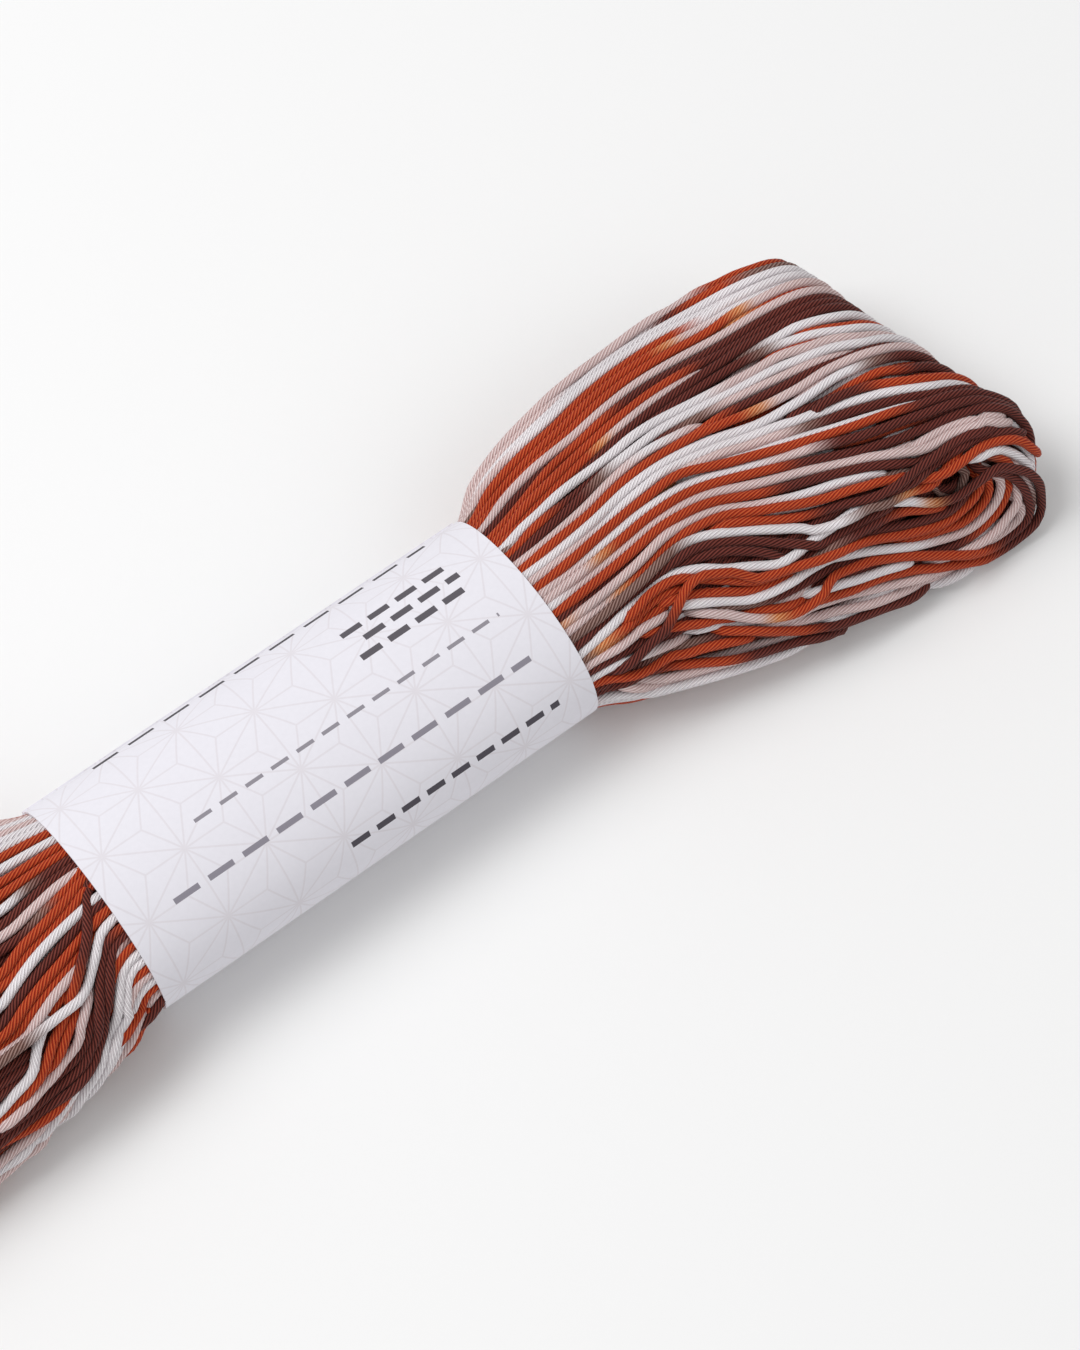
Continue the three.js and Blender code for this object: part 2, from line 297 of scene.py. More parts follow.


# %% [markdown]
# The turns that show from above, one row each, read from the real skein. A route is a list of
# stations, tenths of the way out from the band, each with the place across in hundredths: a bare
# number is the place at the next station, and 4.5:82 gives a station of its own. Where a turn leaves
# the top for the open side, its route goes on after a slash with points of the side face, in mm from
# the band and hundredths down. In dyes and orders those points are stations 10, 11, 12 and on.
# After the dyes comes the order, which says what passes over what: the higher one lies on top. It is
# one number, or pairs of a station and a number where a turn goes over some and under others.
# Two letters give the ends: m starts or ends in the band's mouth, u goes under its neighbours, f runs
# on over the fold, and o runs on over the low edge.

# %% Charted turns of the right head, top
RIGHT_TOP = (
    ("pale_rim_1", "2 1.6 1.2 1 1 .8 .6 .6 7.5:.6 8:1.6 8.4:3.2 8.8:7.5", "P7.5 O9.4 B", 1, "mf"),
    ("pale_rim_2", "5 4.2 3.6 3.4 2.8 2.4 2.8 4.6 7.5:6 8:7.6 8.4:9 8.8:12",
        "P3.5 W6.1 B6.9 O8.3 T", 0, "mf"),
    ("pale_rim_3", "8 6.4 5 5.2 3.7 3 3.9 6.6 9.6 8.8:13", "P", -2, "mf"),
    ("white_rim_1", "10.4 8.4 7.2 7 4.5 3.5 5 8.5 11.5 8.8:14", "P.8 W", 0, "mf"),
    ("white_rim_2", "12.6 11.2 10.4 10 8.5 7.5 9 12 14 8.8:16.5", "P1.8 W", 0, "mf"),
    ("taupe_mouth", "14.2 13.2 1.6:12.4", "T", -1, "mu"),
    ("taupe_rim", "2.4 2 1.8 1.8 1.6 1.4 1.3 1.3 7.4:2.4 7.8:4 8.2:6 8.6:9 8.8:10.5", "P7.9 T", -2, "mf"),
    ("rust_1", "17 15.5 14.8 14.5 12.5 11.8 12.5 15 16 8.8:18", "O6.8 W", 0, "mf"),
    ("rust_2", "19.4 17.9 17 16.9 15.1 14.5 15.4 17.2 18.4 8.8:20.6", "O6 E6.2 P7.2 W", 0, "mf"),
    ("rust_3", "21.8 20.2 19.3 19.4 18 17.6 18.6 20.8 21.5 8.8:22.8", "O7.7 E7.9 P", 0, "mf"),
    ("rust_3b", "7.6:22.6 8.2:23.6 8.8:24.6", "E8.1 O", 0, "uf"),
    ("pale_1", "24.5 22.7 22 22.2 21.2 21 22.4 24.4 25.6 8.8:27", "P", 1, "mf"),
    ("brown_1", "27.4 25.5 24.3", "B", 0, "mu"),
    ("rust_4", "30 28.2 26 25.2 24 24.1 26 27.7 28.5 8.8:29.6", "O4.1 B", 0, "mf"),
    ("white_chip", "1.2:30.6 1.5:30 2:28.6 2.3:28", "W", -1, "uu"),
    ("rust_5", "32.3 31.4 30.2 28.3 27 27 28.5 30.3 31.2 8.8:32.4", "O6 B", 0, "mf"),
    ("rust_6", "34.6 33.4 32.4 31 29.8 29.6 30.4", "O3.25 E3.45 P", 0, "mu"),
    ("brown_2", "1.7:34.6 2:34 33 32.4 31.6 32.2 33.3 33.8 8.8:35.2", "B", 0, "uf"),
    ("brown_3", "3.9:34.6 5:34.2 35.2 36.6 7.4:37.6 7.75:38.6 8:39.9 8.3:41.4 8.5:43.2 8.8:46.6",
        "B7.3 T7.6 W", 0, "uf"),
    ("white_5", "7.1:34.6 7.5:35.4 8:36.6 8.5:38 8.8:39.6", "T7.5 W", 0, "uf"),
    ("white_6", "36.6 36 35.3 35.5 35.4 36.8 40.2 7.5:42.2 8:44.6 8.5:47.8 8.8:50.8", "W6 P", 1, "mf"),
    ("taupe_7", "38 .6:37.7 1.2:37.2", "T.4 W", -1, "mu"),
    ("rust_7", "40 38.6 38.1 37.5", "O1.5 B", 0, "mu"),
    ("white_8", "42.2 41.2 40.5 38.9 38.3 39.4 41 43.7 7.5:45.2 8:47.8 8.4:50 8.8:54",
        "B2.5 T2.9 W", 1, "mf"),
    ("pale_9", "4.5:40.8 5:42.2 5.5:43 6:44 6.5:45.5 7:47 7.5:48.6 8:50.6 8.3:51.8 8.6:53.6",
        "B4.8 T5.7 P", 0, "uu"),
    ("rust_9b", "7.6:40.6 7.9:42 8.2:43.5 8.4:44.7 8.6:46.8", "O", 0, "uu"),
    ("rust_9c", "8.35:39.3 8.5:40.6 8.8:44", "O", -1, "uf"),
    ("pale_10", "44.4 44.2 43.4 41.5 41.4 45", "P3.6 W4.6 P", 0, "mu"),
    ("rust_11", "46.8 46.7 46.3 44.3 44.6 47.4 51.4 54.4 8:55.4 8.5:57.4 8.8:58.6",
        "O6.2 E6.4 P", 2, "mf"),
    ("rust_12", "4.9:44.8 5.2:46 6:48 7:51 8:52.2 8.5:54.5 8.8:56.4", "O5.8 B", 0, "uf"),
    ("brown_12", "5.6:48.6 6:49.8 6.5:51.5 7:52.8", "B", -1, "uu"),
    ("white_13", "49.2 49.2 49 47 47.4 50.7 55.7 58.6 59.2 8.5:60.6 8.8:61.6", "W8.5 T8.7 B", 1, "mf"),
    ("rust_13b", "6.8:61 7.2:62 7.5:62.5 8:63.1 8.3:63.7 8.6:65 8.8:67.4", "B7.7 O8.75 B", 1, "uf"),
    ("rust_13c", "7.2:63.6 7.6:64.6 8:65.8 8.25:67 8.5:69.8 8.8:74.2", "B8.2 O", 2, "uf"),
    ("pale_13", "6.7:56.8 7.2:57 7.8:57.2 8.2:57.6", "P", -1, "uu"),
    ("white_14", "52 52 51 49.9 50.6 53.3 59 63.8 7.5:66.4 8:69.4 8.25:71 8.5:73.8 8.8:77",
        "P1.8 W", 0, "mf"),
    ("pale_14", "3.9:52.8 5:56.4 5.5:59.6 6:62 6.5:65 7:67.5 7.5:69.9 8:73.2 8.5:77 8.8:80",
        "P6.5 T6.8 B", 0, "uf"),
    ("white_16", "4.4:55.4 5:58.8 5.5:62.2 6:65 6.5:68 7:71.2 7.5:74 8:77 8.25:78.5 8.5:80.8 8.8:84",
        "W8.6 P", 0, "uf"),
    ("rust_15", "54.8 54.6 53.5 52.9 54.1 61 67.8 73.9 79.5 8.8:85", "O8.1 B", 1, "mf"),
    ("rust_15b", "6.3:72 6.5:73.2 7:77.6 7.5:80.4 8:83 8.8:88", "B6.8 O8.1 B", -1, "uf"),
    ("white_18", "57.2 57.2 56.3 55.9 57.6 64 71 79 84.6 8.8:89.6",
        "P1.3 W5.5 P6.4 B10.6 W14 P19 W", 0, "mf"),
    ("rust_19", "59.8 59.8 59.2 58.6 60.6 67 75 83.4 88.8 8.8:92.4",
        "P1.45 E1.65 O5.7 B10.6 P14 W20 P", 1, "mf"),
    ("pale_20", "62.4 62.4 62 61.4 63.5 71.2 78.4 6.5:83.2 6.8:87.2 7:90.4 7.2:93.4 7.4:95.4 7.7:96.4 /"
        " 44,-11.5 45,-10 46,-8 47,-4.5 48,0 49,5.5 49.8,10", "W.5 P", 1, "mu"),
    ("pale_20b", "6.9:88.4 7.2:90.8 7.5:92.2 8:93.2 / 44.6,-18 45.6,-15.5 46.6,-11.5 47.6,-7 48.6,-1"
        " 49.6,6", "P", 0, "uu"),
    ("pale_20c", "6.85:86.4 7.1:88 7.4:89.6 7.6:90.6", "P", -1, "uu"),
    ("rust_21", "65 64.9 64.6 64 67 75.3 82.6 6.5:88 6.8:92 7:94.4 7.2:96.4 / 39.6,-8 40.8,-6.6",
        "O5.1 B", 2, "mu"),
    ("brown_22", "67 67.2 66.4 65", "B", -1, "mu"),
    ("pale_23", "69.2 69.2 68.4 66.8 69.8 4.5:75.4 5:80.2 5.5:83.8 6:86.6 6.3:88.8 6.6:91.4",
        "E.2 P5 W", 1, "mu"),
    ("pale_23b", "4.9:81.6 5.2:85 5.5:87.6 6:90.2 6.5:93.4 6.8:95.8 7:97.4", "P6.3 T", 0, "uu"),
    ("rust_24", "72 72.2 71.6 69.6 73.2 4.5:78.6 5:84.6 5.25:87.4 5.5:89.8 6:93.2 / 34,-14.5 35,-11.5"
        " 36,-9 37,-6 38,0 39,6.5 40,9.5 41,11 42,12 44,12.3 46,12.5 47,13.5 48,15 49,17.5 50,21.5"
        " 50.6,25 51.2,31 51.6,37", "P1.35 E1.5 O", ((13, 2), (18, 6)), "mu"),
    ("rust_24b", "4:77 4.5:82.6 5:89 5.3:91.6 / 30,-19.5 31,-15 32,-11 33,-7.5 34,-5 35,-3 36,-2.5 38,-3"
        " 40,-3 42,-3 44,-2.5 45,-1.5 46,.5 47,4 48,8", "O5.2 B", 5, "uu"),
    ("rim_loop", "74.6 74.4 73.8 72.6 3.5:75.2 4:79.8 4.3:84 4.5:87.4 4.8:92.4 / 27,-11 28,-7.5 29,-5.6"
        " 30,-4 31,-3 32,-2 33,0 34,3 35,6 36,7.5 37,9.5 38,11.5 39,14 40,16.3 41,16.8 42,15.5 43,13.5",
        "T3 W14 T20 E20.4 O", 4, "mu"),
    ("brown_26", "77.2 76.8 75.6 3:75.8 3.5:78.6 3.7:81 4:85.4 4.2:89.6 4.5:95.6 / 27,6 29,9 31,11 33,12"
        " 34.5,13", "B", 2, "mu"),
    ("brown_26b", "2.7:76 3.2:80 3.6:84 3.8:87.6 4:91.4 / 24,8 26,13 28,16 30,20 33,26 35,33 37,40 39,44"
        " 41,46 43,44 44.3,41", "B", 1, "uu"),
    ("crest_loop", "80.4 78.6 1.5:77.2 2:76.8 2.3:77 2.5:78.4 2.8:81.4 3:83.6 3.3:88.2 3.6:92.6 4:98 /"
        " 24,-4 27,-6 30,-4 32,-2 34.5,5 36,11.5 37,16 37.5,18.5 38.5,25 39.5,30.5 41,35.5 42,37 43,36.5"
        " 44,35 45,34 46.2,32.5 47.2,33.5 48,37 49,43 50,50 50.7,57 51.2,66 51.5,77 51.5,90 51.2,100"
        " 50,106 48,109.5 46,110 43.5,107 42,102 40,95 38,88 36,80 34,74 32,69 30,67 28.5,66 26.8,62"
        " 25,57", "W18.6 E19.1 B37.6 O", ((9, 2), (11, 1), (14, 1), (17, 7)), "mu"),
    ("rust_28a", "1.4:80 1.6:79 2:78.8 2.4:80 2.6:82 2.8:85 3:88.4 3.3:94 3.6:99 / 22,7 25,11 29,13 33,17"
        " 35,20 37,26 38.5,33 40,39", "O10 T12 B14 O", 3, "uu"),
    ("rust_28b", "82.4 .5:82.2 .8:81.8 1.2:81.2 1.8:81.4 2.2:83", "T.4 E.7 O", 0, "mu"),
    ("rust_28c", ".5:84.4 .8:84 1:83.9 1.5:84.3 2:85.4", "E.95 O", -1, "uu"),
    ("side_11", ".7:92.6 1.2:92 1.5:91.5 1.8:90.5 2:88.5 2.3:85.7 2.6:84.4 2.8:85 3:87.2 3.3:91 / 19.3,-9"
        " 21,-2 22.7,3 25,9 27.7,15 31,24 33,32 35,40 37,46 39,52 41,54 43,51 44.5,45 45,40",
        "B1.9 O", 5, "uu"),
    ("pale_29", "85 86.5 1.7:87.2", "P", 0, "mu"),
    ("brown_30", "87.2 .5:88.6 1.2:91", "B", 0, "mu"),
    ("white_31", "89.8 .5:91 1:94 1.3:96 1.7:99.4", "W1.2 P", 1, "mu"),
    ("rust_33", "2.2:86 2.5:88.3 2.8:91.6 / 14.3,-32 16,-20 17.7,-5 19.3,6 20.7,10 22.4,13",
        "O", 3, "uu"),
    ("rust_36", "92.4 .3:94.6 .7:98.6 / 6,10 8.5,13 10,28 11.8,36 13.5,45 14.8,52 16.2,58", "O", 2, "mu"),
    ("brown_36", "95 .3:97 / 4.4,-6 7.7,-6 9.3,8 11,20 12.7,31 14.3,40 16,47 17.7,60 19,72",
        "B10.5 T14 B", 1, "mu"),
    ("brown_37", "97.6 .4:99 / 5,18 7.7,38 9.6,56 11,67 13.5,83 16,90 20,96 24,101",
        "B11 O14.5 B", 1, "mo"),
)
print("right head:", len(RIGHT_TOP), "turns on top")


# %% [markdown]
# The turns that are seen only on the open side of the right head, where the fold shows its round end
# and its hollow. They have no stations on top, so their first point is station 10.

# %% Charted turns of the right head, open side
RIGHT_SIDE = (
    ("side_9", "13.3,-32 15,-16 16.8,0 18.5,10 20,14 21.8,16 25,21 27.7,25 29,30 31,37 33,45 35,53 37,60"
        " 39,66 41,71 43,73 45,70 46.5,64 47.4,55 47.6,46 47,40", "W22.4 P", 4, "uu"),
    ("side_5", "14.2,-8 14.6,-3 15.1,3 16.3,19 17.7,34 19,44 20.4,51 21.8,55 23.5,53 25,49 26,42 27,39"
        " 28.5,41 31,46 33,54 35,61 37,70 39,79 41,87 43,95 44.5,100 46,102 48,101 49.3,97 49.8,85"
        " 49.6,70 49,55 47.8,42 46.5,36", "P15.2 E15.9 O30 B", 5, "uu"),
    ("side_white", "12.6,6 14,17 15.3,27 16.6,37 17.7,42", "W", 1, "uu"),
    ("side_rust_1", "8.6,-32 9.3,-27 11,-16 12.7,-5 14,6 15,14 16.3,25 17.7,29 19,33 20.3,41 22,47"
        " 23.2,50", "O", 2, "uu"),
    ("side_brown_1", "15.6,0 16.8,8 18.7,21 20.3,28 22.7,31 25,33 26.8,34 28.5,38 30.5,43",
        "T12.6 B", 2, "uu"),
    ("side_chip", "20.6,40 22,42 24.8,44 26.4,45", "P", 0, "uu"),
    ("side_6", "25.4,45 27.3,46 29.3,51 31,55 33,61 35,66", "B", 1, "uu"),
    ("side_white_2", "24.6,46 26.3,48 27.7,52 29.3,57 31,60 33,64 34.6,68", "W", 2, "uu"),
    ("side_7a", "39,82 40.8,85 43,87 45,86 47,82 48.3,77 48.8,73 49,66", "P", 2, "uu"),
    ("side_7b", "41.4,91 43,93 45,95 47,95 48.5,93 49,85 48.8,78", "P", 2, "uu"),
    ("side_8", "36.6,70 38,74 40,79 42,80 44,79 46,75 47.3,68 48.2,60 48.4,55 48,50", "B13.4 O", 3, "uu"),
    ("side_10", "36.4,52 38,56 40,60 42,64 44,62 45.5,57 46.3,48 46.2,41 45.6,37", "O", 3, "uu"),
    ("over_2", "35.2,1 36,2.6 37,3 38,3 40,3 42,3 44,3.5 46,5 47,6.3 48,8.7 49,12 50,17 50.4,20",
        "B", 5, "uu"),
    ("beside_eye", "44.6,18 45.4,20 46.2,23 47.2,28 48.2,33 49.2,40 50,48", "B", 0, "uu"),
    ("side_end_1", "45.6,17 47,19 48.5,25 49.7,35 50.5,45 50.9,52 51,62", "W", 2, "uu"),
    ("side_end_2", "45.4,17 46.5,20 47.7,28 48.8,36 49.5,46", "T11.4 O", 1, "uu"),
    ("side_end_3", "49.6,46 50.2,60 50.4,75 50.4,90 50,98", "P11.9 T12.6 B", 1, "uu"),
    ("eye_rim", "44.1,29 44.4,26 44.3,22 43.9,19", "T", -2, "uu"),
    ("low_1", "19.6,58 21.8,63 24,63 26,67 28,71 30,76 32,80 35,86 38,93 40,99 42,103", "P", 2, "uu"),
    ("low_2", "19.6,66 21.5,72 24,77 26,80 28,85 30,90 33,95 36,99 39,104", "P", 1, "uu"),
    ("low_3", "26,88 29,93 32,97 35,101 38,105 41,108", "W", 1, "uu"),
    ("low_rust", "15,34 16.6,46 17.7,55 19,65 20.3,74 22,84 23.3,88 26,93 28.5,97 31,100 34,103",
        "O16 B", 3, "uo"),
    ("low_pale_1", "4.4,60 6,93 8.5,95 11,96 16,101 18.7,106 22,108", "P", 0, "uu"),
    ("low_pale_2", "4.4,42 7,76 10,84 14,92 18,99 22,102 27,106", "P", 0, "uu"),
)
print("right head:", len(RIGHT_SIDE), "turns on the side")


# %% [markdown]
# The left head shows only its first few centimetres beside the band, with a brown thread that has
# slipped across the others. The rest of that end can't be seen in the picture, so its turns simply
# run on to the fold, evenly spread.

# %% Charted turns of the left head
LEFT_TOP = (
    ("l_pale_1", "2 .5:2", "P", 0, "mf"),
    ("l_pale_2", "5 .5:5", "P", 0, "mf"),
    ("l_rust_rim", "8.4 .5:8.4", "O.15 P", 0, "mf"),
    ("l_pale_3", "11.6 .5:11.6", "P", 0, "mf"),
    ("l_white_1", "14.8 .5:15", "W", 0, "mf"),
    ("l_pale_4", "18.2 .5:18.4", "P", 0, "mf"),
    ("l_white_2", "21.6 .6:22", "W", 0, "mf"),
    ("l_white_3", "24.8 .6:25.2", "W", 0, "mf"),
    ("l_rust_1", "28.2 .9:28.8", "O", 0, "mf"),
    ("l_white_4", "32 1:33", "W", 1, "mf"),
    ("l_rust_2", "35.6 1.2:37.6", "O", 0, "mf"),
    ("l_rust_3", "38.8 1.4:41.6", "O", 0, "mf"),
    ("l_brown_1", "41.8 .6:43.2 1.2:44.8 1.6:46.4", "B.9 T1.1 W", 0, "mf"),
    ("l_brown_2", "44.6 .6:46 1.2:48.4 1.8:51", "B", 0, "mf"),
    ("l_pale_5", ".1:47 .6:48.9 1.2:51.4 1.8:54", "P", 1, "uf"),
    ("l_rust_4", "47.2 .6:51.6 1:53.6 1.5:56.6 1.9:57.6", "O.9 T1.3 B", 0, "mf"),
    ("l_rust_5", "49.8 .6:54.2 1.2:57.4 1.8:60.4 2.4:64.6", "O", 1, "mf"),
    ("l_rust_6", "53 .6:56.8 1.2:60.4 1.8:63.2 2.4:67", "O", 0, "mf"),
    ("l_white_5", "57.2 .5:59.2 1.2:62.3 1.8:65.6 2.4:69.8 2.7:72.2", "W", 1, "mf"),
    ("l_brown_3", "59.8 .6:62.2 1.2:65.9 1.8:69.2 2.4:73 3:77.6", "B", 0, "mf"),
    ("l_rust_7", "62.2 .6:65.4 1.2:69.2 1.8:72.6 2.4:76.4 3:80.8", "O", 1, "mf"),
    ("l_rust_8", ".7:69.6 1.2:72.2 1.8:75.4 2.4:79.2 2.9:82.6", "O", 0, "uf"),
    ("l_pale_6", ".9:73 1.2:74.4 1.8:77.6 2.1:80 2.4:82.4 2.7:84.6", "P", 1, "uf"),
    ("l_rust_9", "1:75.4 1.3:77 1.8:79.8 2.1:82.4", "O", 0, "uu"),
    ("l_brown_over", "51.5 .1:54 .25:57.2 .4:61 .5:63.4 .6:65.5 .8:69.4 1:72.2 1.2:75 1.4:78.2",
        "B1.2 O", 7, "mu"),
    ("l_white_over", "65.4 .25:66.8 .5:69 .8:73.8 1:76.8 1.2:80 1.5:82.4 2:84.2 2.5:85.8 3:87 3.3:87.8",
        "W2.5 T8 W12 P16.5 W20 P", ((5, 8), (9, -1)), "mf"),
    ("l_brown_4", "69.2 .25:70.2 .5:72.6 .65:75.4 .8:78.4 1:82.6 1.2:87.4 / 7.8,-28 8.2,-10 8.6,6 9.4,24"
        " 10.4,35 12,41 14,42.5 17,43 20,44 26,46 33,50", "O.1 B", 6, "mu"),
    ("l_brown_5", "72 .25:73 .5:75.6 .7:80 .85:83.6 1:87.4 / 7.1,-26 7.3,-6 7.8,14 8.6,34 10,50 12,57"
        " 14,59 17,58 20,56 26,57", "B", 5, "mu"),
    ("l_taupe_1", "73.2 .3:74.8 .6:78.4", "B.15 P", -1, "mu"),
    ("l_rust_10", "75.6 .3:77.2 .6:80 .75:83 .9:88", "O", 1, "mu"),
    ("l_white_6", "78.8 .3:80 .6:84.2 .8:89 / 5.6,-18 6,0 6.8,20 7.6,40 8.8,62 10.6,86 13,104",
        "W", 2, "mo"),
    ("l_white_7", "81.6 .3:83 .6:87.6 .8:93 / 4.6,-14 5.2,4 6,26 6.8,52 7.8,80 9.4,102", "W", 2, "mo"),
    ("l_rust_11", "84.4 .3:85.8 .5:88.4", "O", 0, "mu"),
    ("l_pale_7", "86.8 .3:87.6 .6:91 / 4.2,-8 4.6,6 5.6,30 6.6,60 8.4,96", "P", 1, "mo"),
    ("l_white_8", "89.6 .3:91 .6:95.4 / 3.6,6 4.4,22 5.2,48 7,96", "W", 1, "mo"),
    ("l_rust_12", "92.2 .3:94 / 2.6,-4 3.4,2 4.4,16 5.4,34 6.2,46", "O", 2, "mu"),
    ("l_pale_8", "95 .2:97 / 1.6,4 2.6,16 3.6,38 4.6,70 6.2,100", "P", 1, "mo"),
    ("l_rust_13", "97.6 / .6,3 1.6,18 2.2,40 2.4,80", "O", 0, "mo"),
)
LEFT_SIDE = (
    ("l_side_rust", "12,-36 13,-28 14.4,-4 15.4,9 16.5,18 18,23.5 20,27 24,31 30,36", "O", 4, "uu"),
    ("l_side_rust_2", "10.4,-36 11.4,-28 13,-6 14.4,8 16,17", "O", 1, "uu"),
    ("l_side_white", "14.2,-38 15,-29 16,-10 17,4 18.3,13 20,19 23,24 28,29", "W", 3, "uu"),
    ("l_side_brown", "7.4,-34 8.5,-28 9.2,0 11,16 13,26 16,31 20,34 26,38", "B", 2, "uu"),
    ("l_side_pale", "9.2,-36 9.8,-29 10.6,-14 11.6,0 13,11 15,20 16.6,24 19,28", "P", 5, "uu"),
    ("l_side_low_1", "12,62 14,67.5 16,69 18,67 20.5,63 26,62", "O", 2, "uu"),
    ("l_side_low_2", "13,70 15,75 18,74 20,72 26,71", "B", 1, "uu"),
    ("l_side_low_3", "12,54 13.8,66 16.6,84 20,98", "P", 1, "uu"),
    ("l_side_low_4", "9,50 10.2,66 12,88 14.4,104", "P", 1, "uo"),
    ("l_side_low_5", "10.4,56 12,70 14.6,88 17.6,104", "W", 1, "uo"),
    ("l_side_low_6", "13.4,76 15,84 18,86 22,84 28,82", "P", 1, "uu"),
    ("l_side_low_7", "13.6,86 16,94 20,96 25,94 31,92", "W", 1, "uu"),
    ("l_side_low_8", "14,98 17,104 22,105 28,103 34,101", "P", 1, "uu"),
    ("l_side_plum", "1.6,50 2.8,70 4.4,86 6.6,96", "B", 0, "uu"),
)
print("left head:", len(LEFT_TOP), "turns on top and", len(LEFT_SIDE), "on the side")


# %% [markdown]
# From a chart row to points in space. The route's stations become points on the head's surface,
# half a thread below it. A turn that starts at the band begins well inside it. One that goes on over
# the low edge gets three more points, a short way in under the body. Every point also keeps the
# direction that is outward there, which later says what is above and what is below.

# %% Points of a route
THREAD = 1.04
STEP = 0.95
IN_BAND = 1.3
FOLD_STATION = 10.0
UNDER_ACROSS = (0.975, 0.93, 0.88)
UNDER_ON = (1.4, 3.2, 5.0)


def read_route(text):
    """The stations (station, across) on top and the points (x, down) on the side, in plain units."""
    stations, points, at = [], [], -1.0
    for word in text.split():
        if "," in word:
            x, down = word.split(",")
            points.append((float(x), float(down) / 100))
        elif word != "/":
            at, place = word.split(":") if ":" in word else (at + 1, word)
            at = float(at)
            stations.append((at, float(place) / 100))
    return stations, points


def unit(vectors):
    """Vectors of length one."""
    return vectors / np.maximum(np.linalg.norm(vectors, axis=-1, keepdims=True), 1e-9)


def top_knots(head, stations, depth):
    """Route stations as (station, point, outward direction), a quarter of a station apart."""
    at, place = np.array(stations).T
    count = max(int((at[-1] - at[0]) / 0.25), 2)
    fine = np.linspace(at[0], at[-1], count + 1)
    across = np.clip(smooth(at, place, fine), 0.006, 0.994)
    surface = around(head, across, fine / 10)
    out = unit(surface - around(head, across, fine / 10, 1.0))
    return fine, around(head, across, fine / 10, depth), out


def side_knots(head, points, depth):
    """Side points as (station, point, outward direction). Their stations are 10, 11, 12 and on."""
    x, down = np.array(points).T
    surface = side_face(head, x, down)
    out = unit(surface - side_face(head, x, down, 1.0))
    return FOLD_STATION + np.arange(len(points)), side_face(head, x, down, depth), out


def under_knots(head, x, station, depth):
    """Where a thread goes on after the low edge: a short way in under the body."""
    across = np.array(UNDER_ACROSS)
    along = (x + np.array(UNDER_ON)) / HEAD_LENGTH
    surface = turn(head, across, along, -1.0)
    out = unit(surface - turn(head, across, along, -1.0, 1.0))
    return station + np.arange(1, 4), turn(head, across, along, -1.0, depth), out


print("threads are", THREAD, "mm thick and laid in steps of", STEP, "mm")


# %% [markdown]
# From points to a thread. A smooth curve through the points is cut into even steps of about one
# thread thickness, which is fine enough for the tightest bend. A thread that goes under its
# neighbours is made a few millimetres longer, sinks there and ends out of sight, and its order
# sinks with it, so that the others settle on top of it. The dyes of a turn that folds over go on
# past the chart by the dyer's round.

# %% Laying a thread
SINK_LENGTH, SINK_DEPTH, SINK_RANK = 4.4, 2.7, 14
SINK_CURVE = 1.6
FEWEST_STEPS = 9


def cut_even(stations, points, out):
    """The route in even steps: (stations, points, outward directions, distances along)."""
    chord = np.linalg.norm(np.diff(points, axis=0), axis=1)
    length = np.concatenate([[0], np.cumsum(np.maximum(chord, 1e-6))])
    count = max(int(round(length[-1] / STEP)), FEWEST_STEPS)
    at = np.linspace(0, length[-1], count + 1)
    return np.interp(at, length, stations), smooth(length, points, at), unit(smooth(length, out, at)), at


def sinking_ends(knots, ends):
    """Knots with one more, straight on, at each end that goes under its neighbours."""
    stations, points, out = knots
    for end, where in ((ends[0], 0), (ends[1], -1)):
        if end in "uo":
            inner = 1 if where == 0 else -2
            ahead = points[where] + SINK_LENGTH * unit(points[where] - points[inner])
            place = 0 if where == 0 else len(points)
            points = np.insert(points, place, ahead, axis=0)
            out = np.insert(out, place, out[where], axis=0)
            stations = np.insert(stations, place, stations[where] + (0.9 if where else -0.9))
    return stations, points, out


def charted_dyes(words, stations, distance, folds, rng):
    """A row's dyes as letters and the mm where each one ends. After the fold they are drawn."""
    *spans, (last, _) = read_dyes(words)
    marks = [(letter, float(np.interp(end, stations, distance))) for letter, end in spans]
    if not folds:
        return marks + [(last, ENDLESS)]
    charted = max([float(np.interp(FOLD_STATION, stations, distance))] + [at for _, at in marks])
    last_end = charted + rng.uniform(2, 16)
    rest = wound_dyes(rng, distance[-1], last)
    return marks + [(last, last_end)] + [(letter, last_end + end) for letter, end in rest[1:]]


def lay_thread(name, knots, ends, order, dyes, rng, marks=None):
    """One thread as a dict of arrays: its points, outward directions, colours and order. The order is
    one number, or pairs of a station and a number. Where a thread sinks, it goes under the others."""
    stations, points, out, distance = cut_even(*sinking_ends(knots, ends))
    sink = np.zeros(len(points))
    if ends[0] == "u":
        sink = np.maximum(sink, 1 - distance / SINK_LENGTH)
    if ends[1] in "uo":
        sink = np.maximum(sink, 1 - (distance[-1] - distance) / SINK_LENGTH)
    sink = sink ** SINK_CURVE
    points = points - out * (SINK_DEPTH * sink)[:, None]
    if isinstance(order, tuple):
        rank = np.interp(stations, *zip(*order))
    else:
        rank = np.full(len(points), float(order))
    if dyes:
        marks = charted_dyes(dyes, stations, distance, ends[1] == "f", rng)
    return {
        "name": name, "points": points, "out": out, "order": rank - SINK_RANK * sink,
        "colours": dye_colours(marks, distance),
    }


print("a thread that goes under its neighbours sinks", SINK_DEPTH, "mm over", SINK_LENGTH, "mm")


# %% [markdown]
# A whole chart. The turns that fold over come back on the underside and end inside the band again.
# There they are spread evenly, in the order in which they reach the fold, and drift slowly from
# their place at the fold to their place below.

# %% Threads of a chart
LOW_DRIFT = ((10.8, 0.1), (13, 0.35), (16, 0.75), (18, 0.95), (20, 1), (20 + IN_BAND, 1))


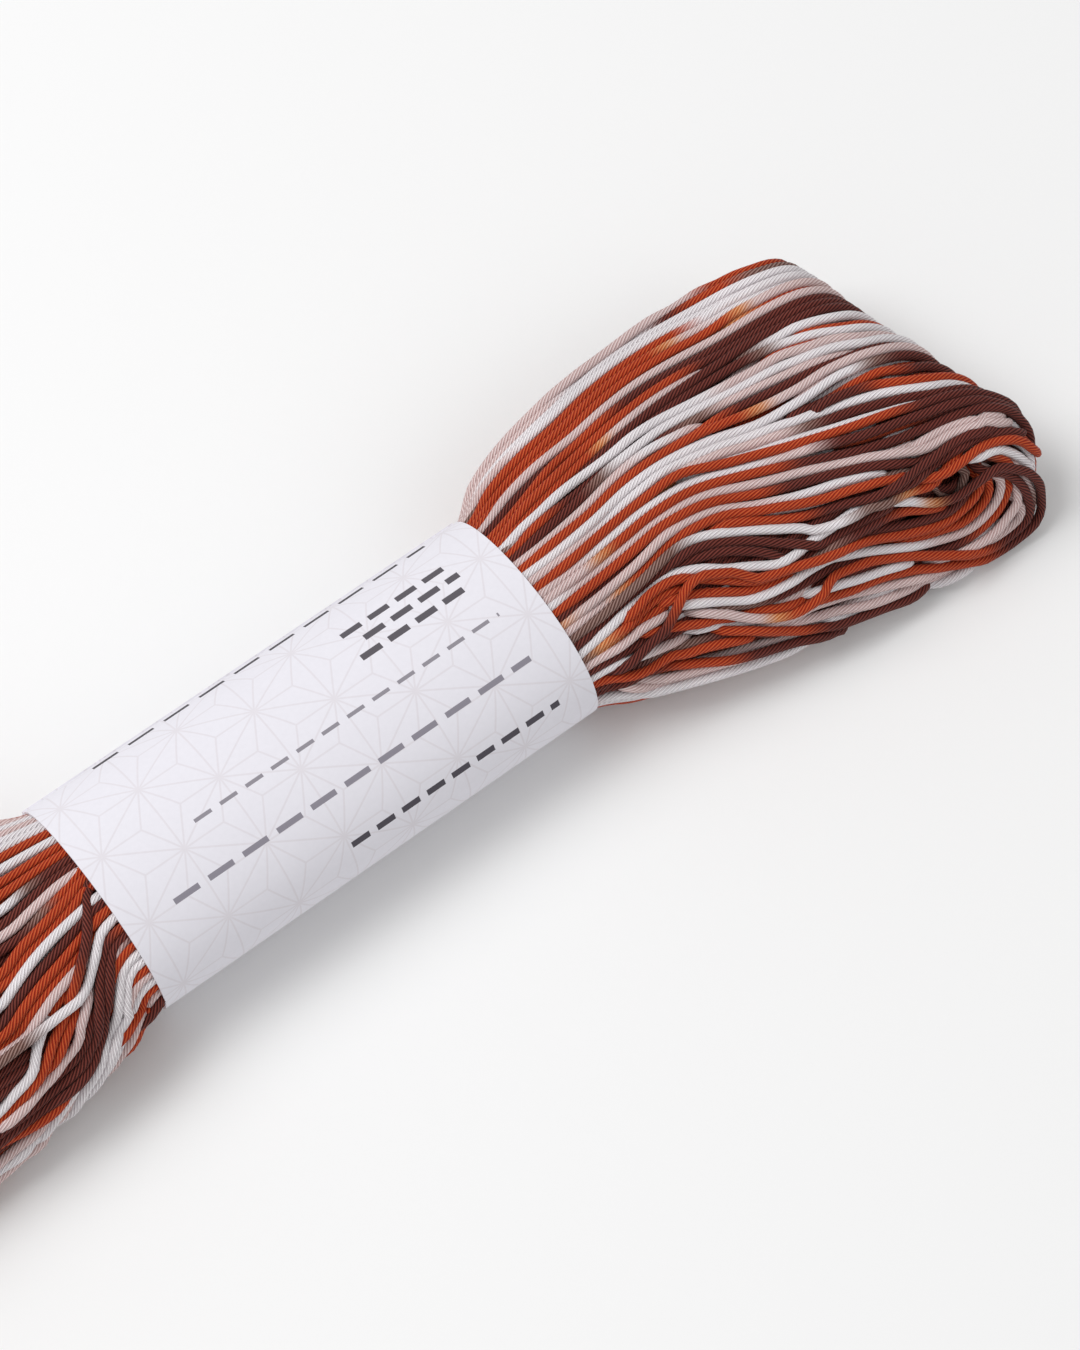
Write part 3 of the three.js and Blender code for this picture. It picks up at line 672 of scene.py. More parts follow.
def charted_threads(head, rows, rng):
    """The threads of a chart. Turns that fold over are spread evenly on the underside."""
    routes = [(name, *read_route(route), dyes, order, ends) for name, route, dyes, order, ends in rows]
    folded = sorted((r[1][-1][1], r[0]) for r in routes if r[5][1] == "f")
    low_place = {name: (k + 0.5) / len(folded) for k, (_, name) in enumerate(folded)}
    fold_place = {name: place if head == "right" else low_place[name] for place, name in folded}
    threads = []
    for name, stations, points, dyes, order, ends in routes:
        depth = THREAD / 2
        parts = []
        if stations:
            if ends[0] == "m":
                stations = [(-IN_BAND, stations[0][1])] + stations
            if ends[1] == "f":
                last, place = stations[-1]
                fold, low = fold_place[name], low_place[name]
                if last < 8:
                    stations = stations + [(6.5, 0.3 * place + 0.7 * fold), (8.8, fold)]
                stations = stations + [(at, fold + share * (low - fold)) for at, share in LOW_DRIFT]
            parts.append(top_knots(head, stations, depth))
        if points:
            parts.append(side_knots(head, points, depth))
        if ends[1] == "o":
            parts.append(under_knots(head, points[-1][0], parts[-1][0][-1], depth))
        knots = [np.concatenate(column) for column in zip(*parts)]
        threads.append(lay_thread(name, knots, ends, order, dyes, rng))
    return threads


print("turns that fold over:", sum(row[4][1] == "f" for row in RIGHT_TOP + LEFT_TOP))


# %% [markdown]
# Under the charted turns lies the rest of the winding. It shows only through gaps, round the fold
# and on the far side, so its turns are laid by rule: a second layer that follows the first, and at
# both edges loops inside loops, each one thread deeper, round the small hollow at the heart of the
# fold. Their dyes are drawn at random from the dyer's round, with a fixed seed. Two places are dyed
# brown: the open side, where the second layer starts brown, and the innermost loops round the hollow,
# which are brown all the way, partly the thread's own colour and partly painted shade for the dark
# hollow.

# %% The winding underneath
LAYER = 0.9
FIRST_INNER = THREAD / 2 + LAYER
INNER_TURNS = 31
INNER_ORDER = -3
EDGE_PLACES = (0.035, 0.085, 0.925, 0.972)
HEART = 1.5
HEART_SPAN = 2.6
OPEN_SIDE = 0.68
BROWN_LEAD = 22.0
DYED_LENGTH = 140


def inner_threads(head, rng):
    """The second layer of turns, and the loops inside loops at both edges."""
    form = HEADS[head][0]
    threads = []
    travel = np.linspace(-IN_BAND, 20 + IN_BAND, 80)
    for k in range(INNER_TURNS):
        place = (k + 0.5) / INNER_TURNS
        flow = 0.10 * np.sin(np.pi * place) * np.sin(np.pi * np.clip(travel, 0, 20) / 20)
        wander = rng.uniform(-0.008, 0.008) * np.sin(travel * rng.uniform(0.5, 1.1) + rng.uniform(0, 6))
        knots = top_knots(head, list(zip(travel, place + flow + wander)), FIRST_INNER)
        start = ("B", BROWN_LEAD) if place > OPEN_SIDE else ()
        marks = wound_dyes(rng, DYED_LENGTH, *start)
        threads.append(lay_thread(f"inner_{k}", knots, "mm", INNER_ORDER, None, rng, marks))
    for place in EDGE_PLACES:
        half_high = (column(form, "top_z", place) - column(form, "low_z", place)) / 2
        for k, depth in enumerate(np.arange(FIRST_INNER + 0.1, half_high - HEART, LAYER)):
            wander = place + rng.uniform(-0.006, 0.006) * np.sin(travel * rng.uniform(0.4, 0.9))
            knots = top_knots(head, list(zip(travel, wander)), depth)
            # Loops round the hollow are brown all the way: partly their own colour, partly painted shade
            # for the hollow.
            hollow_shade_brown = place > 0.5 and depth > half_high - HEART - HEART_SPAN
            marks = [("B", ENDLESS)] if hollow_shade_brown else wound_dyes(rng, DYED_LENGTH)
            threads.append(lay_thread(f"edge_{place}_{k}", knots, "mm", INNER_ORDER, None, rng, marks))
    return threads


print("second layer:", INNER_TURNS, "turns on each head,", FIRST_INNER, "mm below the surface")


# %% [markdown]
# Laid like that, the threads still pass through each other. Real ones push aside and pile up. To
# work that out, the pairs of points that lie close have to be found, without trying all of them
# against all: the points are sorted into small cells, and only neighbouring cells are compared.

# %% Points that lie close
HALF_NEIGHBOURS = [
    (x, y, z) for x in (-1, 0, 1) for y in (-1, 0, 1) for z in (-1, 0, 1) if (x, y, z) >= (0, 0, 0)
]


def near_pairs(points, owner, reach):
    """Pairs of points of different threads that are closer than reach."""
    cell = np.floor(points / reach).astype(np.int64)
    cell -= cell.min(0) - 1
    span = cell.max(0) + 2
    key = (cell[:, 0] * span[1] + cell[:, 1]) * span[2] + cell[:, 2]
    order = np.argsort(key, kind="stable")
    ordered = key[order]
    first, second = [], []
    for x, y, z in HALF_NEIGHBOURS:
        wanted = key + (x * span[1] + y) * span[2] + z
        low = np.searchsorted(ordered, wanted, "left")
        count = np.searchsorted(ordered, wanted, "right") - low
        i = np.repeat(np.arange(len(points)), count)
        nth = np.arange(count.sum()) - np.repeat(np.cumsum(count) - count, count)
        j = order[nth + np.repeat(low, count)]
        keep = owner[i] != owner[j]
        if (x, y, z) == (0, 0, 0):
            keep &= i < j
        i, j = i[keep], j[keep]
        close = ((points[i] - points[j]) ** 2).sum(1) < reach ** 2
        first.append(i[close])
        second.append(j[close])
    return np.concatenate(first), np.concatenate(second)


print("cells compared with each cell:", len(HALF_NEIGHBOURS))


# %% [markdown]
# At the heart of the right head's fold the turns leave a small hollow, which shows in its open side.
# Threads are kept out of it: a point that lies inside is moved to its rim. The hollow is an oval in
# the side face that grows a little narrower as it goes in.

# %% The hollow of the fold
# The middle as x and down, half the width and half the height, and how far in it goes.
HOLLOW = {"right": (42.9, 0.235, 2.8, 1.9, 9.0)}
HOLLOW_NARROWS = 0.2


def out_of_hollow(head, points):
    """How far to move points that lie in the hollow at the heart of the fold."""
    x, down, half_wide, half_high, deep = HOLLOW[head]
    middle = side_face(head, x, down)
    inward = unit(side_face(head, x, down, 1.0) - middle)
    wide = np.array([1.0, 0.0, 0.0])
    high = np.cross(wide, inward)
    reach = (points - middle) @ inward
    narrow = 1 - HOLLOW_NARROWS * np.clip(reach / deep, 0, 1)
    a = (points - middle) @ wide / (half_wide * narrow)
    b = (points - middle) @ high / (half_high * narrow)
    far = np.maximum(np.hypot(a, b), 0.05)
    push = np.where((far < 1) & (reach > -2) & (reach < deep), 1 / far - 1, 0)[:, None]
    return push * ((a * half_wide * narrow)[:, None] * wide + (b * half_high * narrow)[:, None] * high)


print("hollow in the", ", ".join(HOLLOW), "head")


# %% [markdown]
# Now the threads of a head settle together. Again and again, any two that are closer than one
# thickness are pushed apart, across their length, and the one that passes over is pushed outward.
# Each point is drawn back towards its charted place, more strongly sideways than in height, so
# the pattern stays and crossings rise. It is also drawn towards its neighbours along the thread,
# which keeps bends round. The first few millimetres from the band stay where the band holds them.

# %% Settling
GAP = 0.93
SETTLE_ROUNDS = 44
PAIRS_KEPT = 6
RUB_REACH = GAP + 0.45
LIFT = 0.9
BACK_INWARD, BACK_SIDEWAYS, STRAIGHTEN, OUT_OF_HOLLOW = 0.05, 0.16, 0.35, 0.5
HELD_BY_BAND = (0.5, 3)
FLOOR_CLEARANCE = THREAD / 2


def rubbing(points, out, order, along, i, j):
    """The pairs i, j that touch, how far apart they are, and how far each first one is pushed."""
    between = points[i] - points[j]
    same_way = np.where((along[i] * along[j]).sum(1) < 0, -1.0, 1.0)[:, None]
    common = unit(along[i] + same_way * along[j])
    slid = (between * common).sum(1)
    across = between - slid[:, None] * common
    apart = np.linalg.norm(across, axis=1)
    touching = (apart < GAP) & (np.abs(slid) < 0.75 * STEP)
    a, b, apart = i[touching], j[touching], apart[touching]
    lift = np.clip(order[a] - order[b], -1, 1)[:, None] * unit(out[a] + out[b])
    push = unit(unit(across[touching]) + LIFT * lift) * (GAP - apart)[:, None] * 0.5
    return a, b, apart, push


def settle(head, threads):
    """Pushes the threads of one head apart until they lie beside and on each other."""
    counts = [len(t["points"]) for t in threads]
    home = np.concatenate([t["points"] for t in threads])
    out = np.concatenate([t["out"] for t in threads])
    order = np.concatenate([t["order"] for t in threads])
    owner = np.repeat(np.arange(len(threads)), counts)
    outside = np.repeat([t["name"] != "eye_rim" for t in threads], counts)[:, None]
    total_count = len(home)
    itself = np.arange(total_count)
    before, after = np.maximum(itself - 1, 0), np.minimum(itself + 1, total_count - 1)
    before = np.where(owner[before] == owner, before, itself)
    after = np.where(owner[after] == owner, after, itself)
    past_band = np.abs(home[:, 0]) - BAND_LENGTH / 2
    free = np.clip((past_band - HELD_BY_BAND[0]) / HELD_BY_BAND[1], 0, 1)[:, None]
    shift = np.zeros_like(home)
    for k in range(SETTLE_ROUNDS):
        points = home + shift
        if k % PAIRS_KEPT == 0:
            i, j = near_pairs(points, owner, RUB_REACH)
        along = unit(points[after] - points[before])
        a, b, apart, push = rubbing(points, out, order, along, i, j)
        total = np.zeros_like(home)
        for axis in range(3):
            total[:, axis] += np.bincount(a, push[:, axis], total_count)
            total[:, axis] -= np.bincount(b, push[:, axis], total_count)
        touched = np.bincount(a, minlength=total_count) + np.bincount(b, minlength=total_count)
        shift += total / np.maximum(touched * 0.5, 1)[:, None]
        outward = (shift * out).sum(1)[:, None] * out
        shift -= BACK_INWARD * outward + BACK_SIDEWAYS * (shift - outward)
        shift += STRAIGHTEN * ((shift[before] + shift[after]) / 2 - shift)
        if head in HOLLOW:
            shift += OUT_OF_HOLLOW * out_of_hollow(head, home + shift) * outside
        shift *= free
        shift[:, 2] = np.maximum(shift[:, 2], FLOOR_CLEARANCE - home[:, 2])
    start = 0
    for thread, count in zip(threads, counts):
        thread["points"] = home[start:start + count] + shift[start:start + count]
        start += count
    tight = float(np.mean(apart < GAP - 0.2)) if len(apart) else 0.0
    print(head, "head:", len(threads), "threads,", total_count, "points, farthest push",
          np.abs(shift).max().round(2), "mm, still tight", round(tight, 3))


# %% [markdown]
# Each settled route becomes a round thread. Geometry Nodes do this well: a chain of mesh edges
# carries the route with its attributes, Mesh to Curve makes it a curve, and Curve to Mesh runs a
# small circle along it. The circle is an open arc whose ends meet, so that the UV map can go all
# the way round before Merge by Distance closes the seam. The UV's first part goes once round the
# thread and its second is the distance along in mm. The girth tapers to nothing at both ends, which
# closes them in a soft point.

# %% The thread tree
def add(tree, kind, settings=None, inputs=None):
    """Adds a node with its settings, and its inputs by name or number: a value, a socket to link, or
    a node, whose first output is linked."""
    node = tree.nodes.new(kind)
    for name, value in (settings or {}).items():
        setattr(node, name, value)
    for name, value in (inputs or {}).items():
        if isinstance(value, bpy.types.Node):
            value = value.outputs[0]
        if isinstance(value, bpy.types.NodeSocket):
            tree.links.new(value, node.inputs[name])
        else:
            node.inputs[name].default_value = value
    return node


def make_thread_tree():
    """The node tree that turns routes into round threads."""
    tree = bpy.data.node_groups.new("round_threads", "GeometryNodeTree")
    for name, way, kind in (
        ("Routes", "INPUT", "Geometry"),
        ("Thickness", "INPUT", "Float"),
        ("Sides", "INPUT", "Int"),
        ("Thread", "INPUT", "Material"),
        ("Threads", "OUTPUT", "Geometry"),
    ):
        tree.interface.new_socket(name, in_out=way, socket_type="NodeSocket" + kind)
    given = tree.nodes.new("NodeGroupInput").outputs
    made = tree.nodes.new("NodeGroupOutput").inputs
    routes = add(tree, "GeometryNodeMeshToCurve", inputs={"Mesh": given["Routes"]})
    girth = add(tree, "GeometryNodeInputNamedAttribute", {"data_type": "FLOAT"}, {"Name": "girth"})
    along = add(tree, "GeometryNodeInputNamedAttribute", {"data_type": "FLOAT"}, {"Name": "along"})
    half = add(tree, "ShaderNodeMath", {"operation": "MULTIPLY"}, {0: given["Thickness"], 1: 0.5})
    corners = add(tree, "ShaderNodeMath", {"operation": "ADD"}, {0: given["Sides"], 1: 1.0})
    ring = add(tree, "GeometryNodeCurveArc", {"mode": "RADIUS"}, {
        "Resolution": corners, "Radius": half, "Sweep Angle": 2 * math.pi,
    })
    round_share = add(tree, "GeometryNodeSplineParameter")
    ring_named = add(tree, "GeometryNodeStoreNamedAttribute", {"data_type": "FLOAT", "domain": "POINT"}, {
        "Geometry": ring.outputs["Curve"], "Name": "round", "Value": round_share.outputs["Factor"],
    })
    tubes = add(tree, "GeometryNodeCurveToMesh", inputs={
        "Curve": routes, "Profile Curve": ring_named, "Scale": girth,
    })
    round_read = add(tree, "GeometryNodeInputNamedAttribute", {"data_type": "FLOAT"}, {"Name": "round"})
    uv = add(tree, "ShaderNodeCombineXYZ", inputs={"X": round_read, "Y": along})
    mapped = add(tree, "GeometryNodeStoreNamedAttribute", {"data_type": "FLOAT2", "domain": "CORNER"}, {
        "Geometry": tubes, "Name": "UVMap", "Value": uv,
    })
    closed = add(tree, "GeometryNodeMergeByDistance", inputs={"Geometry": mapped, "Distance": 1e-5})
    smoothed = add(tree, "GeometryNodeSetShadeSmooth", inputs={"Geometry": closed})
    real = add(tree, "GeometryNodeRealizeInstances", inputs={"Geometry": smoothed})
    dressed = add(tree, "GeometryNodeSetMaterial", inputs={"Geometry": real, "Material": given["Thread"]})
    tree.links.new(dressed.outputs[0], made["Threads"])
    print("the thread tree has", len(tree.nodes), "nodes")
    return tree


# %% [markdown]
# Running the tree. The routes go in as a mesh of edge chains with three attributes on its points:
# girth, distance along and dye. The result is taken off as a plain mesh, and the object with the
# modifier is thrown away, so that what is left needs nothing else.

# %% Spinning the threads
TAPER = (0.0, 0.5, 0.8, 0.95)


def set_input(modifier, name, value):
    """Sets an input of a Geometry Nodes modifier by its socket's identifier."""
    for item in modifier.node_group.interface.items_tree:
        if item.item_type == "SOCKET" and item.in_out == "INPUT" and item.name == name:
            modifier[item.identifier] = value


def route_mesh(name, threads):
    """A mesh of edge chains, in metres, with the attributes that the tree reads."""
    points = np.concatenate([t["points"] for t in threads])
    starts = np.cumsum([0] + [len(t["points"]) for t in threads])
    edges = [(k, k + 1) for a, b in zip(starts[:-1], starts[1:]) for k in range(a, b - 1)]
    mesh = bpy.data.meshes.new(name)
    mesh.from_pydata(((points + OFFSET) * MM).tolist(), edges, [])
    girth, along = [], []
    for thread in threads:
        girth += [*TAPER, *[1.0] * (len(thread["points"]) - 2 * len(TAPER)), *TAPER[::-1]]
        step = np.linalg.norm(np.diff(thread["points"], axis=0), axis=1)
        along += [0.0, *np.cumsum(step)]
    for attribute, values in (("girth", girth), ("along", along)):
        layer = mesh.attributes.new(attribute, "FLOAT", "POINT")
        layer.data.foreach_set("value", np.array(values, np.float32))
    colours = np.concatenate([t["colours"] for t in threads])
    opaque = np.hstack([colours, np.ones((len(colours), 1))])
    dye = mesh.attributes.new("dye", "FLOAT_COLOR", "POINT")
    dye.data.foreach_set("color", opaque.astype(np.float32).ravel())
    return mesh


def plain_mesh(piece, name):
    """The evaluated piece as a plain mesh object, with no modifier left."""
    graph = bpy.context.evaluated_depsgraph_get()
    mesh = bpy.data.meshes.new_from_object(piece.evaluated_get(graph))
    mesh.name = name
    bpy.data.objects.remove(piece)
    return new_object(name, mesh)


def spin_threads(name, threads, tree, sides, material):
    """Runs the thread tree over some routes."""
    piece = new_object(name + "_routes", route_mesh(name, threads))
    modifier = piece.modifiers.new("threads", "NODES")
    modifier.node_group = tree
    set_input(modifier, "Thickness", THREAD * MM)
    set_input(modifier, "Sides", sides)
    set_input(modifier, "Thread", material)
    made = plain_mesh(piece, name)
    made.data.calc_loop_triangles()
    print(name, "has", len(threads), "threads and", len(made.data.loop_triangles), "triangles")
    return made


# %% [markdown]
# The heart of the bundle is thread too, but none of it can be followed by eye. One closed body with
# the bundle's own form, three threads down, keeps light from falling through the gaps. It stops
# short of both folds, so that the hollow inside the innermost loops stays a hollow.

# %% The body under the threads
CORE_DEPTH = 2.5
CORE_REACH = 0.74
CORE_EDGES = (0.1, 0.9)
CORE_RINGS = 12


def closed_piece(name, points, faces, material):
    """A smooth closed piece from points in mm, with its faces turned outward."""
    mesh = bpy.data.meshes.new(name)
    mesh.from_pydata(((points + OFFSET) * MM).tolist(), [], faces)
    solid = bmesh.new()
    solid.from_mesh(mesh)
    bmesh.ops.recalc_face_normals(solid, faces=solid.faces)
    solid.to_mesh(mesh)
    solid.free()
    mesh.shade_smooth()
    mesh.materials.append(material)
    print(name, "has", len(faces), "faces")
    return new_object(name, mesh)


def make_core(material):
    """Rings of points from the left head through the waist to the right head, skinned and capped."""
    across = np.linspace(*CORE_EDGES, 28)
    outward = np.linspace(0, CORE_REACH, CORE_RINGS)
    rings = []
    for head, alongs in (("left", np.linspace(CORE_REACH, 0, CORE_RINGS)), ("right", outward)):
        for along in alongs:
            top = turn(head, across, along, 1.0, CORE_DEPTH)
            low = turn(head, across, along, -1.0, CORE_DEPTH)
            rings.append(np.concatenate([top, low[::-1]]))
    count = len(rings[0])
    faces = [tuple(range(count))[::-1], tuple(range((len(rings) - 1) * count, len(rings) * count))]
    for k in range(len(rings) - 1):
        for m in range(count):
            n = (m + 1) % count
            faces.append((k * count + m, k * count + n, (k + 1) * count + n, (k + 1) * count + m))
    return closed_piece("wound_core", np.concatenate(rings), faces, material)


# %% [markdown]
# The band is one strip of paper, wrapped once round the waist and glued where it laps, low at the
# back. Its path is the oval of the frame's sleeve, flat where it rests, and it climbs over its own
# start by one paper thickness. The strip is swept along the skein's length and given a thickness.
# The UV map is in mm, round the band and along it, so that the printed pattern has its real size.

# %% The paper band
BAND_HALF = (12.0, 9.0)
PAPER = 0.22
LAP_START = math.radians(-38)
LAP = 8.0
LAP_GAP = 0.03
CLIMB = 3.0
PAPER_STEP = 0.5
LAP_ANGLES = np.linspace(LAP_START, 0, 200)
LAP_LINE = np.stack([BAND_HALF[0] * np.cos(LAP_ANGLES), BAND_HALF[1] * np.sin(LAP_ANGLES)], -1)
BACK_TO_SIDE = float(np.linalg.norm(np.diff(LAP_LINE, axis=0), axis=1).sum())


def band_path():
    """The strip's outer line round the waist, as points (y, z) in mm and their distance along."""
    angle = np.linspace(LAP_START, LAP_START + 2.35 * math.pi, 4000)
    y, z = BAND_HALF[0] * np.cos(angle), BAND_HALF[1] * np.sin(angle)
    length = np.concatenate([[0], np.cumsum(np.hypot(np.diff(y), np.diff(z)))])
    once = np.interp(LAP_START + 2 * math.pi, angle, length)
    at = np.linspace(0, once + LAP, int((once + LAP) / PAPER_STEP))
    angle = np.interp(at, length, angle)
    climb = np.clip((at - once + CLIMB) / CLIMB, 0, 1)
    lift = (PAPER + LAP_GAP) * climb * climb * (3 - 2 * climb)
    y = (BAND_HALF[0] + lift) * np.cos(angle)
    z = AXIS_HEIGHT + (BAND_HALF[1] + lift) * np.sin(angle)
    return np.stack([y, np.maximum(z, LAP_GAP)], -1), at


def make_band(material):
    """The strip as a sheet with a thickness, its UV in mm."""
    path, distance = band_path()
    stations = np.linspace(-BAND_LENGTH / 2, BAND_LENGTH / 2, 53)
    tangent = unit(np.gradient(path, axis=0))
    inner = path + np.stack([-tangent[:, 1], tangent[:, 0]], -1) * PAPER
    inner[:, 1] = np.maximum(inner[:, 1], LAP_GAP + PAPER)
    rows, columns = len(path), len(stations)
    layers = []
    for line in (path, inner):
        y, x = np.meshgrid(line[:, 0], stations, indexing="ij")
        z, _ = np.meshgrid(line[:, 1], stations, indexing="ij")
        layers.append(np.stack([x, y, z], -1).reshape(-1, 3))
    size = rows * columns
    faces = []
    for r in range(rows - 1):
        for c in range(columns - 1):
            a = r * columns + c
            b = a + columns
            faces.append((a, b, b + 1, a + 1))
            faces.append((size + a, size + a + 1, size + b + 1, size + b))
    rim = [r * columns for r in range(rows)] + [(rows - 1) * columns + c for c in range(1, columns)]
    rim += [r * columns + columns - 1 for r in range(rows - 2, -1, -1)] + list(range(columns - 2, 0, -1))
    for a, b in zip(rim, rim[1:] + rim[:1]):
        faces.append((b, a, size + a, size + b))
    band = closed_piece("paper_band_wrap", np.concatenate(layers), faces, material)
    mesh = band.data
    u = np.tile(np.repeat(distance, columns), 2)
    v = np.tile(np.tile(stations, rows), 2)
    corner = np.zeros(len(mesh.loops), np.int32)
    mesh.loops.foreach_get("vertex_index", corner)
    layer = mesh.uv_layers.new(name="UVMap")
    layer.data.foreach_set("uv", np.stack([u[corner], v[corner]], -1).astype(np.float32).ravel())
    mesh.set_sharp_from_angle(angle=math.radians(50))
    print("paper strip:", round(distance[-1], 1), "mm round and", BAND_LENGTH, "mm wide")
    return band


# %% [markdown]
# Cotton thread: four or six fine plies, twisted and softly mercerised. To the eye that is a round
# cord with slanting ridges about half a millimetre apart, darker between the plies, matt with a
# faint silky sheen. The ridges follow the UV map as a helix. A real thread of this thickness has
# eleven ridges to the turn; nine, 0.6 mm apart, show better at this size, so nine are drawn.
# Shade between the plies is painted: there the colour is deepened by a gamma, keeping its hue, and dimmed.

# %% Cotton thread
PLIES_ROUND = 9
PLY_SPACING = 0.6
PLY_RELIEF = 0.1
FIBRE_GRAIN = 0.12
DYE_PATCH = 6


def new_material(name):
    """An empty material and its node tree."""
    material = bpy.data.materials.new(name)
    material.use_nodes = True
    material.node_tree.nodes.clear()
    return material, material.node_tree


def thread_material():
    """Space-dyed cotton thread, twisted."""
    material, tree = new_material("space_dyed_cotton_thread")
    uv = add(tree, "ShaderNodeUVMap", {"uv_map": "UVMap"})
    part = add(tree, "ShaderNodeSeparateXYZ", inputs={0: uv})
    turns = add(tree, "ShaderNodeMath", {"operation": "MULTIPLY"}, {0: part.outputs[0], 1: PLIES_ROUND})
    climb = add(tree, "ShaderNodeMath", {"operation": "MULTIPLY_ADD"}, {
        0: part.outputs[1], 1: 1 / PLY_SPACING, 2: turns,
    })
    angle = add(tree, "ShaderNodeMath", {"operation": "MULTIPLY"}, {0: climb, 1: 2 * math.pi})
    wave = add(tree, "ShaderNodeMath", {"operation": "SINE"}, {0: angle})
    ridge = add(tree, "ShaderNodeMapRange", {"interpolation_type": "SMOOTHSTEP"}, {
        "Value": wave, "From Min": -1.0, "From Max": 0.6,
    })
    place = add(tree, "ShaderNodeTexCoord").outputs["Object"]
    fibres = add(tree, "ShaderNodeTexNoise", {"noise_dimensions": "3D"}, {
        "Vector": place, "Scale": 1 / (FIBRE_GRAIN * MM), "Detail": 2.0,
    })
    patches = add(tree, "ShaderNodeTexNoise", {"noise_dimensions": "3D"}, {
        "Vector": place, "Scale": 1 / (DYE_PATCH * MM), "Detail": 2.0,
    })
    dye = add(tree, "ShaderNodeAttribute", {"attribute_name": "dye"})
    # Painted shade: in the grooves between the plies the dye is deepened by a gamma and dimmed a little.
    depth = add(tree, "ShaderNodeMapRange", inputs={"Value": ridge, "To Min": 1.8, "To Max": 1.0})
    groove_shaded_dye = add(tree, "ShaderNodeGamma", inputs={"Color": dye.outputs["Color"], "Gamma": depth})
    groove_shade = add(tree, "ShaderNodeMapRange", inputs={"Value": ridge, "To Min": 0.9, "To Max": 1.0})
    uneven = add(tree, "ShaderNodeMapRange", inputs={
        "Value": patches, "From Min": 0.3, "From Max": 0.7, "To Min": 0.93, "To Max": 1.06,
    })
    # shade is the painted groove shade times random patches of uneven dye.
    shade = add(tree, "ShaderNodeMath", {"operation": "MULTIPLY"}, {0: groove_shade, 1: uneven})
    colour = add(tree, "ShaderNodeVectorMath", {"operation": "SCALE"}, {0: groove_shaded_dye, "Scale": shade})
    height = add(tree, "ShaderNodeMath", {"operation": "MULTIPLY_ADD"}, {0: fibres, 1: 0.25, 2: ridge})
    bump = add(tree, "ShaderNodeBump", inputs={
        "Strength": 1.0, "Distance": PLY_RELIEF * MM, "Height": height,
    })
    surface = add(tree, "ShaderNodeBsdfPrincipled", inputs={
        "Base Color": colour, "Roughness": 0.75, "Specular IOR Level": 0.2,
        "Sheen Weight": 0.05, "Sheen Roughness": 0.45, "Normal": bump,
    })
    add(tree, "ShaderNodeOutputMaterial", inputs={"Surface": surface})
    return material


# %% [markdown]
# The thread deep in the bundle lies in its own shade: dark, with the runs only hinted at by ridges
# one thread apart that run along the skein.

# %% Cotton in the depth of the bundle
def core_material():
    """Wound cotton, painted dark for the shade deep in the bundle."""
    material, tree = new_material("wound_cotton_in_shade")
    place = add(tree, "ShaderNodeTexCoord")
    runs = add(tree, "ShaderNodeTexWave", {"bands_direction": "Y"}, {
        "Vector": place.outputs["Object"], "Scale": 0.314 / (THREAD * MM), "Distortion": 1.5,
        "Detail": 2.0, "Detail Scale": 0.6,
    }).outputs["Fac"]
    # Painted shade: dark browns for the shade deep in the bundle, darker still between the runs.
    mixed = add(tree, "ShaderNodeMix", {"data_type": "RGBA"}, {
        0: runs, 6: (*linear("2C1512"), 1), 7: (*linear("5A3028"), 1),
    })
    bump = add(tree, "ShaderNodeBump", inputs={"Strength": 0.8, "Distance": 0.3 * MM, "Height": runs})
    surface = add(tree, "ShaderNodeBsdfPrincipled", inputs={
        "Base Color": mixed.outputs[2], "Roughness": 0.85, "Normal": bump,
    })
    add(tree, "ShaderNodeOutputMaterial", inputs={"Surface": surface})
    return material


# %% [markdown]
# The band's paper is printed with the traditional hemp-leaf lattice, in a grey that is hardly darker
# than the paper. That lattice is a net of equilateral triangles, each with lines from its middle to
# its corners. In a triangle's own three coordinates both kinds of line are simple: the smallest one
# is zero on a side, and the two smaller ones are equal on a line from the middle to a corner.

# %% The hemp-leaf lattice
LEAF = 7.85
LEAF_LINE = 0.14
LEAF_SHIFT = (BACK_TO_SIDE + 12.1, -3.3)
LEAF_HIGH = LEAF * math.sqrt(3) / 2


